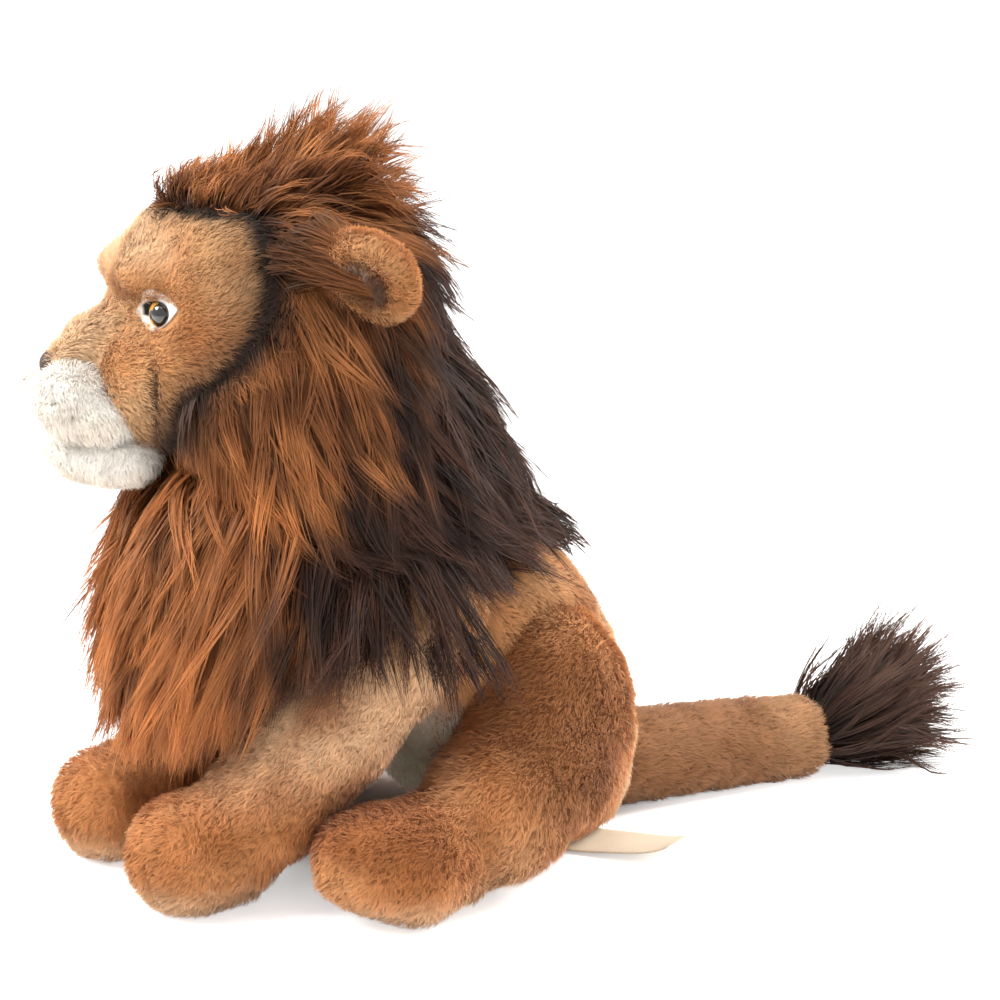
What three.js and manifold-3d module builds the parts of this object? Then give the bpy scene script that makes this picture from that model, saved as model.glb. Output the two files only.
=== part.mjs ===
// A sitting plush lion: sewn plush skins over wadding, with pellet bags, safety eyes and a long-haired mane.
// Millimetres, +Z up. The lion faces -Y and its left side is +X. The origin is the middle of the flat seat.
import * as THREE from "three";
import { mergeVertices } from "three/addons/utils/BufferGeometryUtils.js";
import Module from "manifold-3d";

const wasm = await Module();
wasm.setup();

// Fits and cloth
const seamGap = 0.4;
const plushThickness = 5;
const floorDip = 0.5;
const pawDip = 1.4;
const overrun = 400;

// Facet counts
const outerSides = 18;
const featureSides = 16;
const lumpSides = 14;
const innerSides = 8;
const roundSides = 24;
const smallSides = 12;
const domeSteps = 4;
const curveSteps = 5;

// Torso, sitting upright on its flat seat
const torso = {
  height: 158,
  depth: 190,
  width: 112,
  bellyWidth: 62,
  bellyBottom: 14,
  bellyTop: 118,
};

// Neck: a round dome that the head turns on
const neck = {
  forward: 100,
  radius: 36,
  collar: 8,
  dome: 24,
  openingRadius: 24,
};

// Head, measured forward from the neck axis and up from the floor
const head = {
  turn: THREE.MathUtils.degToRad(-12),
  base: 158.6,
  height: 108.4,
  length: 136.5,
  front: 100.5,
  width: 98,
};
const muzzle = { apart: 14, width: 38, length: 42, depth: 34 };
const chin = { width: 44, length: 44, depth: 26 };
const nose = { height: 13, width: 19, length: 5.2 };

// Safety eyes with a shank and a lock washer
const eye = {
  toe: THREE.MathUtils.degToRad(32),
  domeRadius: 6.2,
  domeHeight: 4.6,
  shankRadius: 2.2,
  shankLength: 15,
  washerRadius: 7.5,
  washerThickness: 2,
  lift: 2.2,
};
const patch = { thickness: 0.9, length: 25, height: 17 };

// Ears, folding about the line where they are sewn on
const ear = {
  width: 42,
  length: 31,
  thickness: 18,
  rootRadius: 4.2,
  rootLength: 24,
  hollow: 5,
  lining: 2,
  swingRoom: 21,
  alongLine: [0.09, 0.64, -0.76],
  towardTip: [0.75, 0.45, 0.4],
};

// Where the features sit on the head, as shares of its half width, its front and its height
const muzzlePlaceShares = { out: 0, forward: 0.796, up: 0.29 };
const chinPlaceShares = { out: 0, forward: 0.776, up: 0.12 };
const nosePlaceShares = { out: 0, forward: 0.984, up: 0.479 };
const eyePlaceShares = { out: 0.5, forward: 0.657, up: 0.636 };
const earPlaceShares = { out: 1.05, forward: -0.09, up: 0.732 };

// Mane: the hair on the head, and the cape and bib on the shoulders
const crown = { top: 296, width: 144, front: 60, back: 84 };
const cape = { top: 157.4, height: 54, width: 156, front: 174, back: 20 };
const bib = { split: 104, half: 51.4, sideBottom: 131, middleBottom: 103, notch: 2.4, lobes: 6 };
const fall = { top: 146, height: 101, width: 52, front: 188, back: 100 };
const overLegs = { bottom: 145.5, back: 44 };
const lockDepthShare = 0.055;

// Forelegs, sewn on at the shoulder
const foreleg = {
  out: 54,
  forward: 80,
  height: 112,
  discRadius: 28,
  seat: 44,
  clear: 54,
  pawOut: 34,
  pawForward: 168,
  width: 48,
  lump: [46, 60, 60],
  rightReach: 6,
};

// Hind legs, sewn on at the hip
const hindleg = {
  out: 56,
  forward: 28,
  height: 56,
  discRadius: 40,
  seat: 44,
  clear: 57,
  pawOut: 87,
  pawForward: 117,
  width: 52,
  lump: [56, 88, 90],
  rightReach: 0,
};

// The room beside the torso that a limb swings clear of, as shares of its sewn disc's radius
const swingShares = { middle: 2.5, side: 1.8 };

// Tail and its tuft
const tail = { rootBack: 48, length: 84, width: 34.5, openingRadius: 8 };
const tuft = { length: 70, width: 54, rise: 26 };

// Care label, sewn in under the left thigh
const label = { out: 29, back: 9, width: 22, length: 46, thickness: 0.6, curl: 5, lift: 0.5, angle: 0.42 };

// Pellet bags
const seatBag = { width: 72, length: 74, height: 30 };
const pawBagShare = 0.74;

// Colours
const golden = 0xc08a54;
const tan = 0xd8ab74;
const white = 0xece6dc;
const rust = 0x8a4a24;
const darkBrown = 0x3f2a22;
const wadding = 0xf1efe9;
const eyeBrown = 0x1c120b;

// Shares of the torso: height of the section, its back, its front and its half width
const torsoShares = [
  [0, 0.147, -0.179, 0.32],
  [0.045, 0.19, -0.24, 0.405],
  [0.127, 0.226, -0.305, 0.462],
  [0.24, 0.24, -0.375, 0.492],
  [0.36, 0.233, -0.478, 0.5],
  [0.48, 0.205, -0.59, 0.497],
  [0.6, 0.145, -0.68, 0.482],
  [0.71, 0.068, -0.73, 0.462],
  [0.81, -0.035, -0.75, 0.436],
  [0.89, -0.14, -0.747, 0.402],
  [0.955, -0.25, -0.735, 0.362],
];

// Shares of the head: place from back to front, top, bottom and half width
const headShares = [
  [0.037, 0.709, 0.273, 0.224],
  [0.132, 0.873, 0.109, 0.378],
  [0.264, 0.973, 0.027, 0.469],
  [0.396, 1, 0, 0.5],
  [0.513, 0.991, 0, 0.49],
  [0.601, 0.973, 0.009, 0.449],
  [0.667, 0.945, 0.018, 0.393],
  [0.725, 0.9, 0.027, 0.327],
  [0.777, 0.836, 0.055, 0.276],
  [0.817, 0.764, 0.1, 0.235],
  [0.842, 0.673, 0.155, 0.209],
  [0.886, 0.591, 0.218, 0.189],
  [0.938, 0.541, 0.273, 0.163],
  [0.974, 0.491, 0.318, 0.122],
];

// Shares of the mane on the head: height, back, front and half width
const crownShares = [
  [0, 1, 0.97, 0.5],
  [0.11, 0.93, 1, 0.486],
  [0.22, 0.86, 0.9, 0.458],
  [0.37, 0.74, 0.67, 0.43],
  [0.515, 0.667, 0.43, 0.403],
  [0.625, 0.62, 0.4, 0.382],
  [0.735, 0.52, 0.53, 0.333],
  [0.845, 0.38, 0.77, 0.25],
  [0.925, 0.26, 0.57, 0.167],
  [1, 0.14, 0.23, 0.07],
];

// Shares of the cape: height down from its top, back, front and half width
const capeShares = [
  [1, 0.95, 0.91, 0.385],
  [0.75, 0.8, 0.965, 0.449],
  [0.5, 0.5, 0.99, 0.487],
  [0.25, 0.2, 0.965, 0.5],
  [0, -0.1, 0.9, 0.487],
];

// Hair that falls from the bib between the forelegs: down, back, front and half width
const fallShares = [
  [1, 0.85, 0.8, 0.17],
  [0.87, 0.87, 0.865, 0.27],
  [0.7, 0.9, 0.935, 0.345],
  [0.535, 0.95, 0.985, 0.4],
  [0.4, 1, 1, 0.44],
  [0.28, 1, 0.985, 0.48],
  [0.15, 1, 0.955, 0.5],
  [0, 1, 0.9, 0.46],
];

// Shares of the way from the shoulder or hip to the paw: out, forward and down, then width across and depth
const forelegShares = [
  [-0.05, 0.04, 0.03, 0.84, 1.12],
  [0, 0.2, 0.26, 1.02, 1.08],
  [0.34, 0.44, 0.56, 0.94, 0.99],
  [0.66, 0.7, 0.84, 0.96, 0.96],
  [0.9, 0.88, 1, 1.03, 1],
  [1, 1, 1, 0.98, 0.97],
];
const hindlegShares = [
  [0.34, 0.15, 0.1, 0.66, 1.3],
  [0.6, 0.33, 0.4, 1.15, 1.26],
  [0.84, 0.55, 0.74, 1, 1.06],
  [0.96, 0.8, 0.98, 0.96, 0.98],
  [1, 1, 1, 0.92, 0.97],
];
const pawEndShare = 0.92;

// Shares of the tuft: place along it, thickness and rise of its middle
const tuftShares = [
  [0, 0.56, 0],
  [0.14, 0.8, 0.1],
  [0.34, 1, 0.42],
  [0.56, 0.92, 0.75],
  [0.76, 0.64, 0.95],
  [0.92, 0.3, 1],
];

const X = new THREE.Vector3(1, 0, 0);
const Y = new THREE.Vector3(0, 1, 0);
const Z = new THREE.Vector3(0, 0, 1);
const forwardAxis = Y.clone().negate();

// Turns a closed geometry into a solid that can be cut and joined
function solid(geometry) {
  const bare = geometry.clone();
  bare.deleteAttribute("normal");
  bare.deleteAttribute("uv");
  const merged = mergeVertices(bare);
  const index = Array.from(merged.index.array);
  const corners = [];
  for (let i = 0; i < index.length; i += 3) {
    const [a, b, c] = index.slice(i, i + 3);
    if (a !== b && b !== c && c !== a) corners.push(a, b, c);
  }
  const vertProperties = new Float32Array(merged.attributes.position.array);
  const triVerts = new Uint32Array(corners);
  return new wasm.Manifold(new wasm.Mesh({ numProp: 3, vertProperties, triVerts }));
}

// The largest piece of a cut solid, as a geometry
function geometryOf(cut) {
  const whole = cut.decompose().sort((a, b) => b.volume() - a.volume())[0];
  const { vertProperties, triVerts } = whole.getMesh();
  const geometry = new THREE.BufferGeometry();
  geometry.setAttribute("position", new THREE.BufferAttribute(new Float32Array(vertProperties), 3));
  geometry.setIndex(new THREE.BufferAttribute(new Uint32Array(triVerts), 1));
  geometry.computeVertexNormals();
  return geometry;
}

// Skins a row of rings: each has a middle, two half sizes along right and up, and ridges where it has hair
function loft(rings, sides) {
  const positions = [];
  const index = [];
  for (const ring of rings) {
    for (let j = 0; j < sides; j += 1) {
      const angle = (2 * Math.PI * j) / sides;
      const ridge = 1 - (ring.lockShare ?? 0) * (j % 2);
      const point = ring.middle
        .clone()
        .addScaledVector(ring.right, ring.across * ridge * Math.cos(angle))
        .addScaledVector(ring.up, ring.deep * ridge * Math.sin(angle));
      positions.push(point.x, point.y, point.z);
    }
  }
  const last = rings.length - 1;
  const startCap = rings.length * sides;
  const endCap = startCap + 1;
  positions.push(...rings[0].middle.toArray(), ...rings[last].middle.toArray());
  for (let i = 0; i < last; i += 1) {
    for (let j = 0; j < sides; j += 1) {
      const next = (j + 1) % sides;
      const [a, b] = [i * sides + j, i * sides + next];
      const [c, d] = [a + sides, b + sides];
      index.push(a, b, d, a, d, c);
    }
  }
  for (let j = 0; j < sides; j += 1) {
    const next = (j + 1) % sides;
    index.push(startCap, next, j);
    index.push(endCap, last * sides + j, last * sides + next);
  }
  const geometry = new THREE.BufferGeometry();
  geometry.setAttribute("position", new THREE.Float32BufferAttribute(positions, 3));
  geometry.setIndex(index);
  return solid(geometry);
}

// A flat, level ring from its back, front and half width
function levelRing(height, back, front, halfWidth, lockShare) {
  const middle = new THREE.Vector3(0, (back + front) / 2, height);
  return { middle, right: X, up: Y, across: halfWidth, deep: (back - front) / 2, lockShare };
}

// An ellipsoid of full sizes less an inset all round
function ellipsoid(middle, sizes, inset = 0, sides = outerSides) {
  const geometry = new THREE.SphereGeometry(1, sides, Math.round(sides / 2));
  geometry.scale(sizes.x / 2 - inset, sizes.y / 2 - inset, sizes.z / 2 - inset);
  geometry.translate(middle.x, middle.y, middle.z);
  return solid(geometry);
}

// A flat outline given a depth
function plate(outline, depth) {
  return new THREE.ExtrudeGeometry(outline, { depth, bevelEnabled: false, curveSegments: curveSteps });
}

// A box between two corners
function box(low, high) {
  const size = high.clone().sub(low);
  const geometry = new THREE.BoxGeometry(size.x, size.y, size.z);
  geometry.translate(low.x + size.x / 2, low.y + size.y / 2, low.z + size.z / 2);
  return solid(geometry);
}

// A cylinder from one point along a direction
function rod(start, direction, radius, length, sides = roundSides) {
  const geometry = new THREE.CylinderGeometry(radius, radius, length, sides);
  geometry.translate(0, length / 2, 0);
  geometry.applyQuaternion(new THREE.Quaternion().setFromUnitVectors(Y, direction));
  geometry.translate(start.x, start.y, start.z);
  return solid(geometry);
}

// A round profile of [radius, height] points turned about a line
function turned(points, start, direction, sides = roundSides) {
  const outline = points.map(([radius, height]) => new THREE.Vector2(radius, height));
  const geometry = new THREE.LatheGeometry(outline, sides);
  geometry.applyQuaternion(new THREE.Quaternion().setFromUnitVectors(Y, direction));
  geometry.translate(start.x, start.y, start.z);
  return solid(geometry);
}

const floorBelow = (height) =>
  box(new THREE.Vector3(-overrun, -overrun, -overrun), new THREE.Vector3(overrun, overrun, height));

// Torso and neck, drawn in by an inset for the inside of the plush
const neckSeam = neck.collar + torso.height;
function domeRings(inset, makeRing) {
  const rings = [];
  for (let i = 0; i < domeSteps; i += 1) {
    const angle = (Math.PI / 2) * (i / domeSteps);
    const height = neckSeam + (neck.dome - inset) * Math.sin(angle);
    rings.push(makeRing((neck.radius - inset) * Math.cos(angle), height));
  }
  return rings;
}
function torsoSolid(inset, sides) {
  const rings = torsoShares.map(([up, back, front, half]) => {
    const height = Math.max(up * torso.height, inset);
    const [rear, breast] = [back * torso.depth - inset, front * torso.depth + inset];
    return levelRing(height, rear, breast, half * torso.width - inset);
  });
  const neckRing = (radius, height) => {
    const middle = -neck.forward;
    return levelRing(height, middle + radius, middle - radius, radius);
  };
  rings.push(neckRing(neck.radius - inset, torso.height), ...domeRings(inset, neckRing));
  return loft(rings, sides);
}

// The space round the neck that the head is cut back to
function neckRoom(inset) {
  const profile = [[0, 0], [neck.radius - inset, 0]];
  domeRings(inset, (radius, height) => profile.push([radius, height]));
  profile.push([0, neckSeam + neck.dome - inset]);
  return turned(profile, new THREE.Vector3(), Z);
}

// Where a limb is sewn on: a round seat in the torso's side, about a line across the lion
function seatRoom(limb, side) {
  const start = new THREE.Vector3(side * limb.seat, -limb.forward, limb.height);
  return rod(start, X.clone().multiplyScalar(side), limb.discRadius + seamGap, overrun);
}

// Tail, a straight stuffed tube with a ball at its root
const tailHeight = tail.width / 2 - floorDip;
function tailRings(inset) {
  const radius = tail.width / 2 - inset;
  const ring = (back, share) => ({
    middle: new THREE.Vector3(0, back, tailHeight),
    right: X.clone().negate(),
    up: Z,
    across: radius * share,
    deep: radius * share,
  });
  const rings = [];
  for (let i = domeSteps; i > 0; i -= 1) {
    const angle = (Math.PI / 2) * (i / (domeSteps + 1));
    rings.push(ring(tail.rootBack - radius * Math.sin(angle), Math.cos(angle)));
  }
  for (let i = 0; i <= domeSteps; i += 1) {
    rings.push(ring(tail.rootBack + (tail.length - inset) * (i / domeSteps), 1));
  }
  return rings;
}
const tailRoot = new THREE.Vector3(0, tail.rootBack, tailHeight);
const tailSize = tail.width + 2 * seamGap;
const tailRoom = () => ellipsoid(tailRoot, new THREE.Vector3(tailSize, tailSize, tailSize), 0, roundSides);

// Cuts the torso back to the seats of everything sewn on
function seatedTorso(inset, sides) {
  let cut = torsoSolid(inset, sides);
  for (const side of [1, -1]) {
    cut = cut.subtract(seatRoom(foreleg, side)).subtract(seatRoom(hindleg, side));
  }
  return cut.subtract(tailRoom());
}

// The plush shell of the torso, open at the neck, and its pale belly panel
const neckOpening = rod(new THREE.Vector3(0, -neck.forward, torso.height), Z, neck.openingRadius, overrun);
const torsoHollow = torsoSolid(plushThickness, innerSides).add(neckOpening);
const torsoShell = seatedTorso(0, outerSides).subtract(torsoHollow);
function bellyRegion(margin) {
  const half = torso.bellyWidth / 2 + margin;
  const [bottom, top] = [torso.bellyBottom - margin, torso.bellyTop + margin];
  const outline = new THREE.Shape();
  outline.moveTo(0, bottom);
  outline.quadraticCurveTo(half, bottom, half, (bottom + top) / 2);
  outline.quadraticCurveTo(half, top, 0, top);
  outline.quadraticCurveTo(-half, top, -half, (bottom + top) / 2);
  outline.quadraticCurveTo(-half, bottom, 0, bottom);
  const geometry = plate(outline, overrun);
  geometry.rotateX(Math.PI / 2);
  geometry.translate(0, -neck.forward / 2, 0);
  return solid(geometry);
}

// Pellet bag in the seat, lying on the plush
const seatBagMiddle = new THREE.Vector3(0, 0, plushThickness + seamGap);
const seatBagSizes = new THREE.Vector3(seatBag.width, seatBag.length, 2 * seatBag.height);
const torsoInside = seatedTorso(plushThickness + seamGap, innerSides);
const seatBagRound = (inset) => ellipsoid(seatBagMiddle, seatBagSizes, inset, smallSides);

// A limb: its stuffed body, a round sewn end and a flat sole, all drawn in by an inset
function limbPath(limb, shares, side, reach) {
  const pawHeight = limb.width / 2 - pawDip;
  return shares.map(([out, forward, down]) => new THREE.Vector3(
    side * THREE.MathUtils.lerp(limb.out, limb.pawOut, out),
    -THREE.MathUtils.lerp(limb.forward, limb.pawForward + reach, forward),
    THREE.MathUtils.lerp(limb.height, pawHeight, down),
  ));
}
function limbLoft(limb, shares, side, reach, inset, sides) {
  const path = new THREE.CatmullRomCurve3(limbPath(limb, shares, side, reach));
  const sizes = new THREE.CatmullRomCurve3(shares.map((row) => new THREE.Vector3(row[3], row[4], 0)));
  const steps = shares.length - 1;
  const ring = (place, shift, shrink) => {
    const ahead = path.getTangent(place);
    const right = Z.clone().cross(ahead).normalize();
    const size = sizes.getPoint(place);
    return {
      middle: path.getPoint(place).addScaledVector(ahead, shift),
      right,
      up: ahead.clone().cross(right),
      across: ((size.x * limb.width) / 2 - inset) * shrink,
      deep: ((size.y * limb.width) / 2 - inset) * shrink,
    };
  };
  const rings = [];
  for (let i = 0; i <= steps; i += 1) rings.push(ring(i / steps, 0, 1));
  const reachOut = (limb.width / 2) * pawEndShare - inset;
  for (let i = 1; i < domeSteps; i += 1) {
    const angle = (Math.PI / 2) * (i / (domeSteps - 1)) * pawEndShare;
    rings.push(ring(1, reachOut * Math.sin(angle), Math.cos(angle)));
  }
  return loft(rings, sides);
}
function limbSolid(limb, shares, side, inset, rootPlane, sides) {
  const reach = side < 0 ? limb.rightReach : 0;
  const lump = new THREE.Vector3(...limb.lump);
  const middle = new THREE.Vector3(side * limb.out, -limb.forward, limb.height);
  const root = ellipsoid(middle, lump, inset, Math.min(sides, lumpSides));
  const stuffed = root.add(limbLoft(limb, shares, side, reach, inset, sides));
  const start = new THREE.Vector3(0, -limb.forward, limb.height);
  const sewnEnd = rod(start, X.clone().multiplyScalar(side), limb.discRadius - inset, overrun);
  const beside = torsoSide(limb, side, limb.clear + inset).subtract(sewnEnd);
  return stuffed.subtract(beside).subtract(torsoSide(limb, side, rootPlane)).subtract(floorBelow(inset));
}

// The space round the torso that a limb keeps out of as it swings, out to a given distance
function torsoSide(limb, side, inner) {
  const [atMiddle, atSide] = [swingShares.middle * limb.discRadius, swingShares.side * limb.discRadius];
  const profile = [[0, 0], [atMiddle, 0], [atSide, inner], [0, inner]];
  return turned(profile, new THREE.Vector3(0, -limb.forward, limb.height), X.clone().multiplyScalar(side));
}

// Skin, wadding and paw pellet bag of one limb
function limbPieces(limb, shares, side) {
  const root = limb.seat + seamGap;
  const outside = limbSolid(limb, shares, side, 0, root, outerSides);
  const lining = limbSolid(limb, shares, side, plushThickness, limb.seat - plushThickness, innerSides);
  const inside = limbSolid(limb, shares, side, plushThickness + seamGap, root + seamGap, innerSides);
  const bagBack = THREE.MathUtils.lerp(limb.forward, limb.pawForward, pawBagShare);
  const pawSide = (back) => box(
    new THREE.Vector3(-overrun, -overrun, -overrun),
    new THREE.Vector3(overrun, -back, overrun),
  );
  return {
    skin: outside.subtract(lining),
    wadding: inside.subtract(pawSide(bagBack - seamGap)),
    pellets: inside.intersect(pawSide(bagBack)),
  };
}

// Head shapes in the head's own frame: the neck axis at x = y = 0, facing -Y
const headTipShare = 0.55;
function headSolid(outset, sides) {
  const back = head.front - head.length - outset;
  const length = head.length + 2 * outset;
  const ring = (place, top, bottom, half, share) => {
    const [high, low] = [head.base + top * head.height + outset, head.base + bottom * head.height - outset];
    return {
      middle: new THREE.Vector3(0, -(back + place * length), (high + low) / 2),
      right: X,
      up: Z,
      across: (half * head.width + outset) * share,
      deep: ((high - low) / 2) * share,
    };
  };
  const rings = headShares.map((row) => ring(...row, 1));
  const [first, last] = [headShares[0], headShares[headShares.length - 1]];
  rings.unshift(ring(0, ...first.slice(1), headTipShare));
  rings.push(ring(1, ...last.slice(1), headTipShare));
  return loft(rings, sides);
}
const headRoom = (outset) => headSolid(outset, outerSides);
const headPlace = (shares, side) => new THREE.Vector3(
  (side * shares.out * head.width) / 2,
  -shares.forward * head.front,
  head.base + shares.up * head.height,
);
function muzzleSolid(outset) {
  const sizes = new THREE.Vector3(muzzle.width, muzzle.length, muzzle.depth);
  const lobe = (side) => {
    const middle = headPlace(muzzlePlaceShares, side).addScaledVector(X, side * muzzle.apart);
    return ellipsoid(middle, sizes, -outset, featureSides);
  };
  return lobe(1).add(lobe(-1));
}
function chinSolid(outset) {
  const sizes = new THREE.Vector3(chin.width, chin.length, chin.depth);
  return ellipsoid(headPlace(chinPlaceShares, 1), sizes, -outset, featureSides);
}

// The nose: a cushion, wide at its top and narrow below
const noseShares = [
  [0, 0.3, 0.5],
  [0.1, 0.75, 0.85],
  [0.3, 1, 1],
  [0.55, 0.8, 0.9],
  [0.8, 0.4, 0.65],
  [1, 0.15, 0.4],
];
function noseSolid(outset) {
  const top = headPlace(nosePlaceShares, 1).addScaledVector(Z, outset);
  const rings = noseShares.map(([down, across, deep]) => ({
    middle: top.clone().addScaledVector(Z, -down * (nose.height + 2 * outset)),
    right: X,
    up: forwardAxis,
    across: (across * nose.width) / 2 + outset,
    deep: (deep * nose.length) / 2 + outset,
  }));
  return loft(rings, smallSides);
}

// Eyes: the shank runs back along -look from the dome
function eyePlace(side) {
  const look = new THREE.Vector3(side * Math.sin(eye.toe), -Math.cos(eye.toe), 0);
  return { look, seat: headPlace(eyePlaceShares, side).addScaledVector(look, eye.lift) };
}
function eyeSolid(side) {
  const { look, seat } = eyePlace(side);
  const profile = [[0, -eye.shankLength], [eye.shankRadius, -eye.shankLength], [eye.shankRadius, 0]];
  for (let i = 0; i < domeSteps; i += 1) {
    const angle = (Math.PI / 2) * (i / domeSteps);
    profile.push([eye.domeRadius * Math.cos(angle), eye.domeHeight * Math.sin(angle)]);
  }
  profile.push([0, eye.domeHeight]);
  return turned(profile, seat, look, smallSides);
}
const shankRoom = (side, radius) => {
  const { look, seat } = eyePlace(side);
  return rod(seat, look.clone().negate(), radius, eye.shankLength + seamGap, smallSides);
};
// The dome's seat in the face
function domeRoom(side) {
  const { look, seat } = eyePlace(side);
  const start = seat.clone().addScaledVector(look, -seamGap);
  return rod(start, look, eye.domeRadius + seamGap, 2 * eye.domeRadius, smallSides);
}
function washerSolid(side) {
  const { look, seat } = eyePlace(side);
  const [bore, rim] = [eye.shankRadius + seamGap, eye.washerRadius];
  const back = -eye.shankLength + eye.washerThickness;
  const front = back + eye.washerThickness;
  const profile = [[bore, back], [rim, back], [rim, front], [bore, front], [bore, back]];
  return turned(profile, seat, look, smallSides);
}
// The washer's bed in the inside of the plush
function washerBed(side) {
  const { look, seat } = eyePlace(side);
  const front = eye.shankLength - 2 * eye.washerThickness - seamGap;
  const start = seat.clone().addScaledVector(look, -front);
  return rod(start, look.clone().negate(), eye.washerRadius + seamGap, eye.shankLength, smallSides);
}
function washerRoom(side) {
  const { look, seat } = eyePlace(side);
  const depth = eye.shankLength + 2 * seamGap;
  return rod(seat, look.clone().negate(), eye.washerRadius + seamGap, depth, smallSides);
}

// White felt round the eye, laid on the face
function patchSolid(side) {
  const { look, seat } = eyePlace(side);
  const [half, high] = [patch.length / 2, patch.height / 2];
  const outline = new THREE.Shape();
  outline.moveTo(-half, 0);
  outline.quadraticCurveTo(-half / 2, high, half / 2, high);
  outline.quadraticCurveTo(half, high / 2, half, 0);
  outline.quadraticCurveTo(half / 2, -high, -half / 2, -high);
  outline.quadraticCurveTo(-half, -high / 2, -half, 0);
  const geometry = plate(outline, 2 * eye.domeRadius);
  geometry.applyQuaternion(new THREE.Quaternion().setFromUnitVectors(Y, Z));
  geometry.applyQuaternion(new THREE.Quaternion().setFromUnitVectors(forwardAxis, look));
  const start = seat.clone().addScaledVector(look, -eye.domeRadius);
  geometry.translate(start.x, start.y, start.z);
  const felt = headSolid(seamGap + patch.thickness, outerSides).subtract(headSolid(seamGap, outerSides));
  const laid = felt.intersect(solid(geometry)).subtract(domeRoom(side));
  return laid.subtract(shankRoom(side, eye.shankRadius + seamGap));
}

// Ear, in the frame of its sewn line: along the line, out to the tip, and out of its hollow
function earFrame(side) {
  const line = new THREE.Vector3(...ear.alongLine).normalize();
  const out = new THREE.Vector3(...ear.towardTip);
  out.addScaledVector(line, -out.dot(line)).normalize();
  const hollow = line.clone().cross(out);
  const place = new THREE.Matrix4().makeBasis(line, out, hollow);
  place.setPosition(headPlace(earPlaceShares, 1));
  if (side < 0) place.premultiply(new THREE.Matrix4().makeScale(-1, 1, 1));
  return place;
}
const placed = (shape, matrix) => shape.transform(matrix.elements);
const earMiddle = (outOfHollow) => new THREE.Vector3(0, ear.length - ear.width / 2, outOfHollow);
function earShell() {
  const sizes = new THREE.Vector3(ear.width, ear.width, ear.thickness);
  const low = new THREE.Vector3(-overrun, -overrun, -overrun);
  const behindRoot = box(low, new THREE.Vector3(overrun, ear.rootRadius / 2, overrun));
  const start = new THREE.Vector3(-ear.rootLength / 2, 0, 0);
  const root = rod(start, X, ear.rootRadius, ear.rootLength, smallSides);
  const cup = ellipsoid(earMiddle(0), sizes, 0, featureSides).subtract(behindRoot);
  return cup.add(root).subtract(earHollow(0));
}
function earHollow(inset, lift = 0) {
  const wide = ear.width - 2 * ear.hollow;
  const sizes = new THREE.Vector3(wide, wide, ear.thickness - ear.hollow);
  return ellipsoid(earMiddle(ear.hollow + lift), sizes, inset, smallSides);
}
function earLining() {
  const layer = earHollow(seamGap).subtract(earHollow(seamGap, ear.lining));
  const low = new THREE.Vector3(-overrun, -overrun, -overrun);
  return layer.subtract(box(low, new THREE.Vector3(overrun, ear.rootRadius, overrun)));
}
function earRoom() {
  const across = ear.width + 2 * ear.lining;
  const sizes = new THREE.Vector3(across, across + 2 * ear.lining, 2 * ear.swingRoom);
  const low = new THREE.Vector3(-overrun, -overrun, -overrun);
  const behindRoot = box(low, new THREE.Vector3(overrun, -ear.rootRadius / 2, overrun));
  const start = new THREE.Vector3(-ear.rootLength / 2 - seamGap, 0, 0);
  const root = rod(start, X, ear.rootRadius + seamGap, ear.rootLength + 2 * seamGap, smallSides);
  return ellipsoid(earMiddle(0), sizes, 0, smallSides).subtract(behindRoot).add(root);
}

// Mane on the head, ridged into locks
function crownSolid() {
  const rings = crownShares.map(([up, back, front, half]) => levelRing(
    THREE.MathUtils.lerp(head.base, crown.top, up),
    back * crown.back,
    -front * crown.front,
    half * crown.width,
    lockDepthShare,
  ));
  let hair = loft(rings, roundSides).subtract(headRoom(seamGap)).subtract(neckRoom(-seamGap));
  hair = hair.subtract(muzzleSolid(seamGap)).subtract(chinSolid(seamGap));
  for (const side of [1, -1]) hair = hair.subtract(placed(earRoom(), earFrame(side)));
  return hair;
}

// Mane on the shoulders: a cape behind and a bib in front, each cut clear of the legs
function shoulderHair() {
  const rings = capeShares.map(([down, back, front, half]) => levelRing(
    cape.top - down * cape.height, back * cape.back, -front * cape.front, half * cape.width, lockDepthShare,
  ));
  return loft(rings, roundSides).subtract(torsoSolid(-seamGap, outerSides));
}
function capeSolid(hair) {
  const low = new THREE.Vector3(-overrun, -overrun, -overrun);
  const front = box(low, new THREE.Vector3(overrun, -bib.split + seamGap, overrun));
  const underSides = box(low, new THREE.Vector3(overrun, -overLegs.back, overLegs.bottom));
  return hair.subtract(front).subtract(underSides);
}
function bibSolid(hair) {
  const outline = new THREE.Shape();
  const drop = (place) => {
    const share = Math.cos((place * Math.PI) / 2) ** 2;
    return THREE.MathUtils.lerp(bib.sideBottom, bib.middleBottom, share);
  };
  outline.moveTo(-overrun, overrun);
  outline.lineTo(-overrun, overLegs.bottom);
  outline.lineTo(-bib.half, overLegs.bottom);
  outline.lineTo(-bib.half, drop(-1) + bib.notch);
  for (let i = 0; i < bib.lobes; i += 1) {
    const end = (2 * (i + 1)) / bib.lobes - 1;
    const middle = end - 1 / bib.lobes;
    outline.lineTo(middle * bib.half, drop(middle));
    outline.lineTo(end * bib.half, drop(end) + bib.notch);
  }
  outline.lineTo(bib.half, overLegs.bottom);
  outline.lineTo(overrun, overLegs.bottom);
  outline.lineTo(overrun, overrun);
  const geometry = plate(outline, overrun);
  geometry.rotateX(Math.PI / 2);
  geometry.translate(0, -bib.split, 0);
  return hair.intersect(solid(geometry)).add(fallSolid());
}
function fallSolid() {
  const rings = fallShares.map(([down, back, front, half]) => levelRing(
    fall.top - down * fall.height, -back * fall.back, -front * fall.front, half * fall.width, lockDepthShare,
  ));
  return loft(rings, roundSides).subtract(torsoSolid(-seamGap, outerSides));
}

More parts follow.
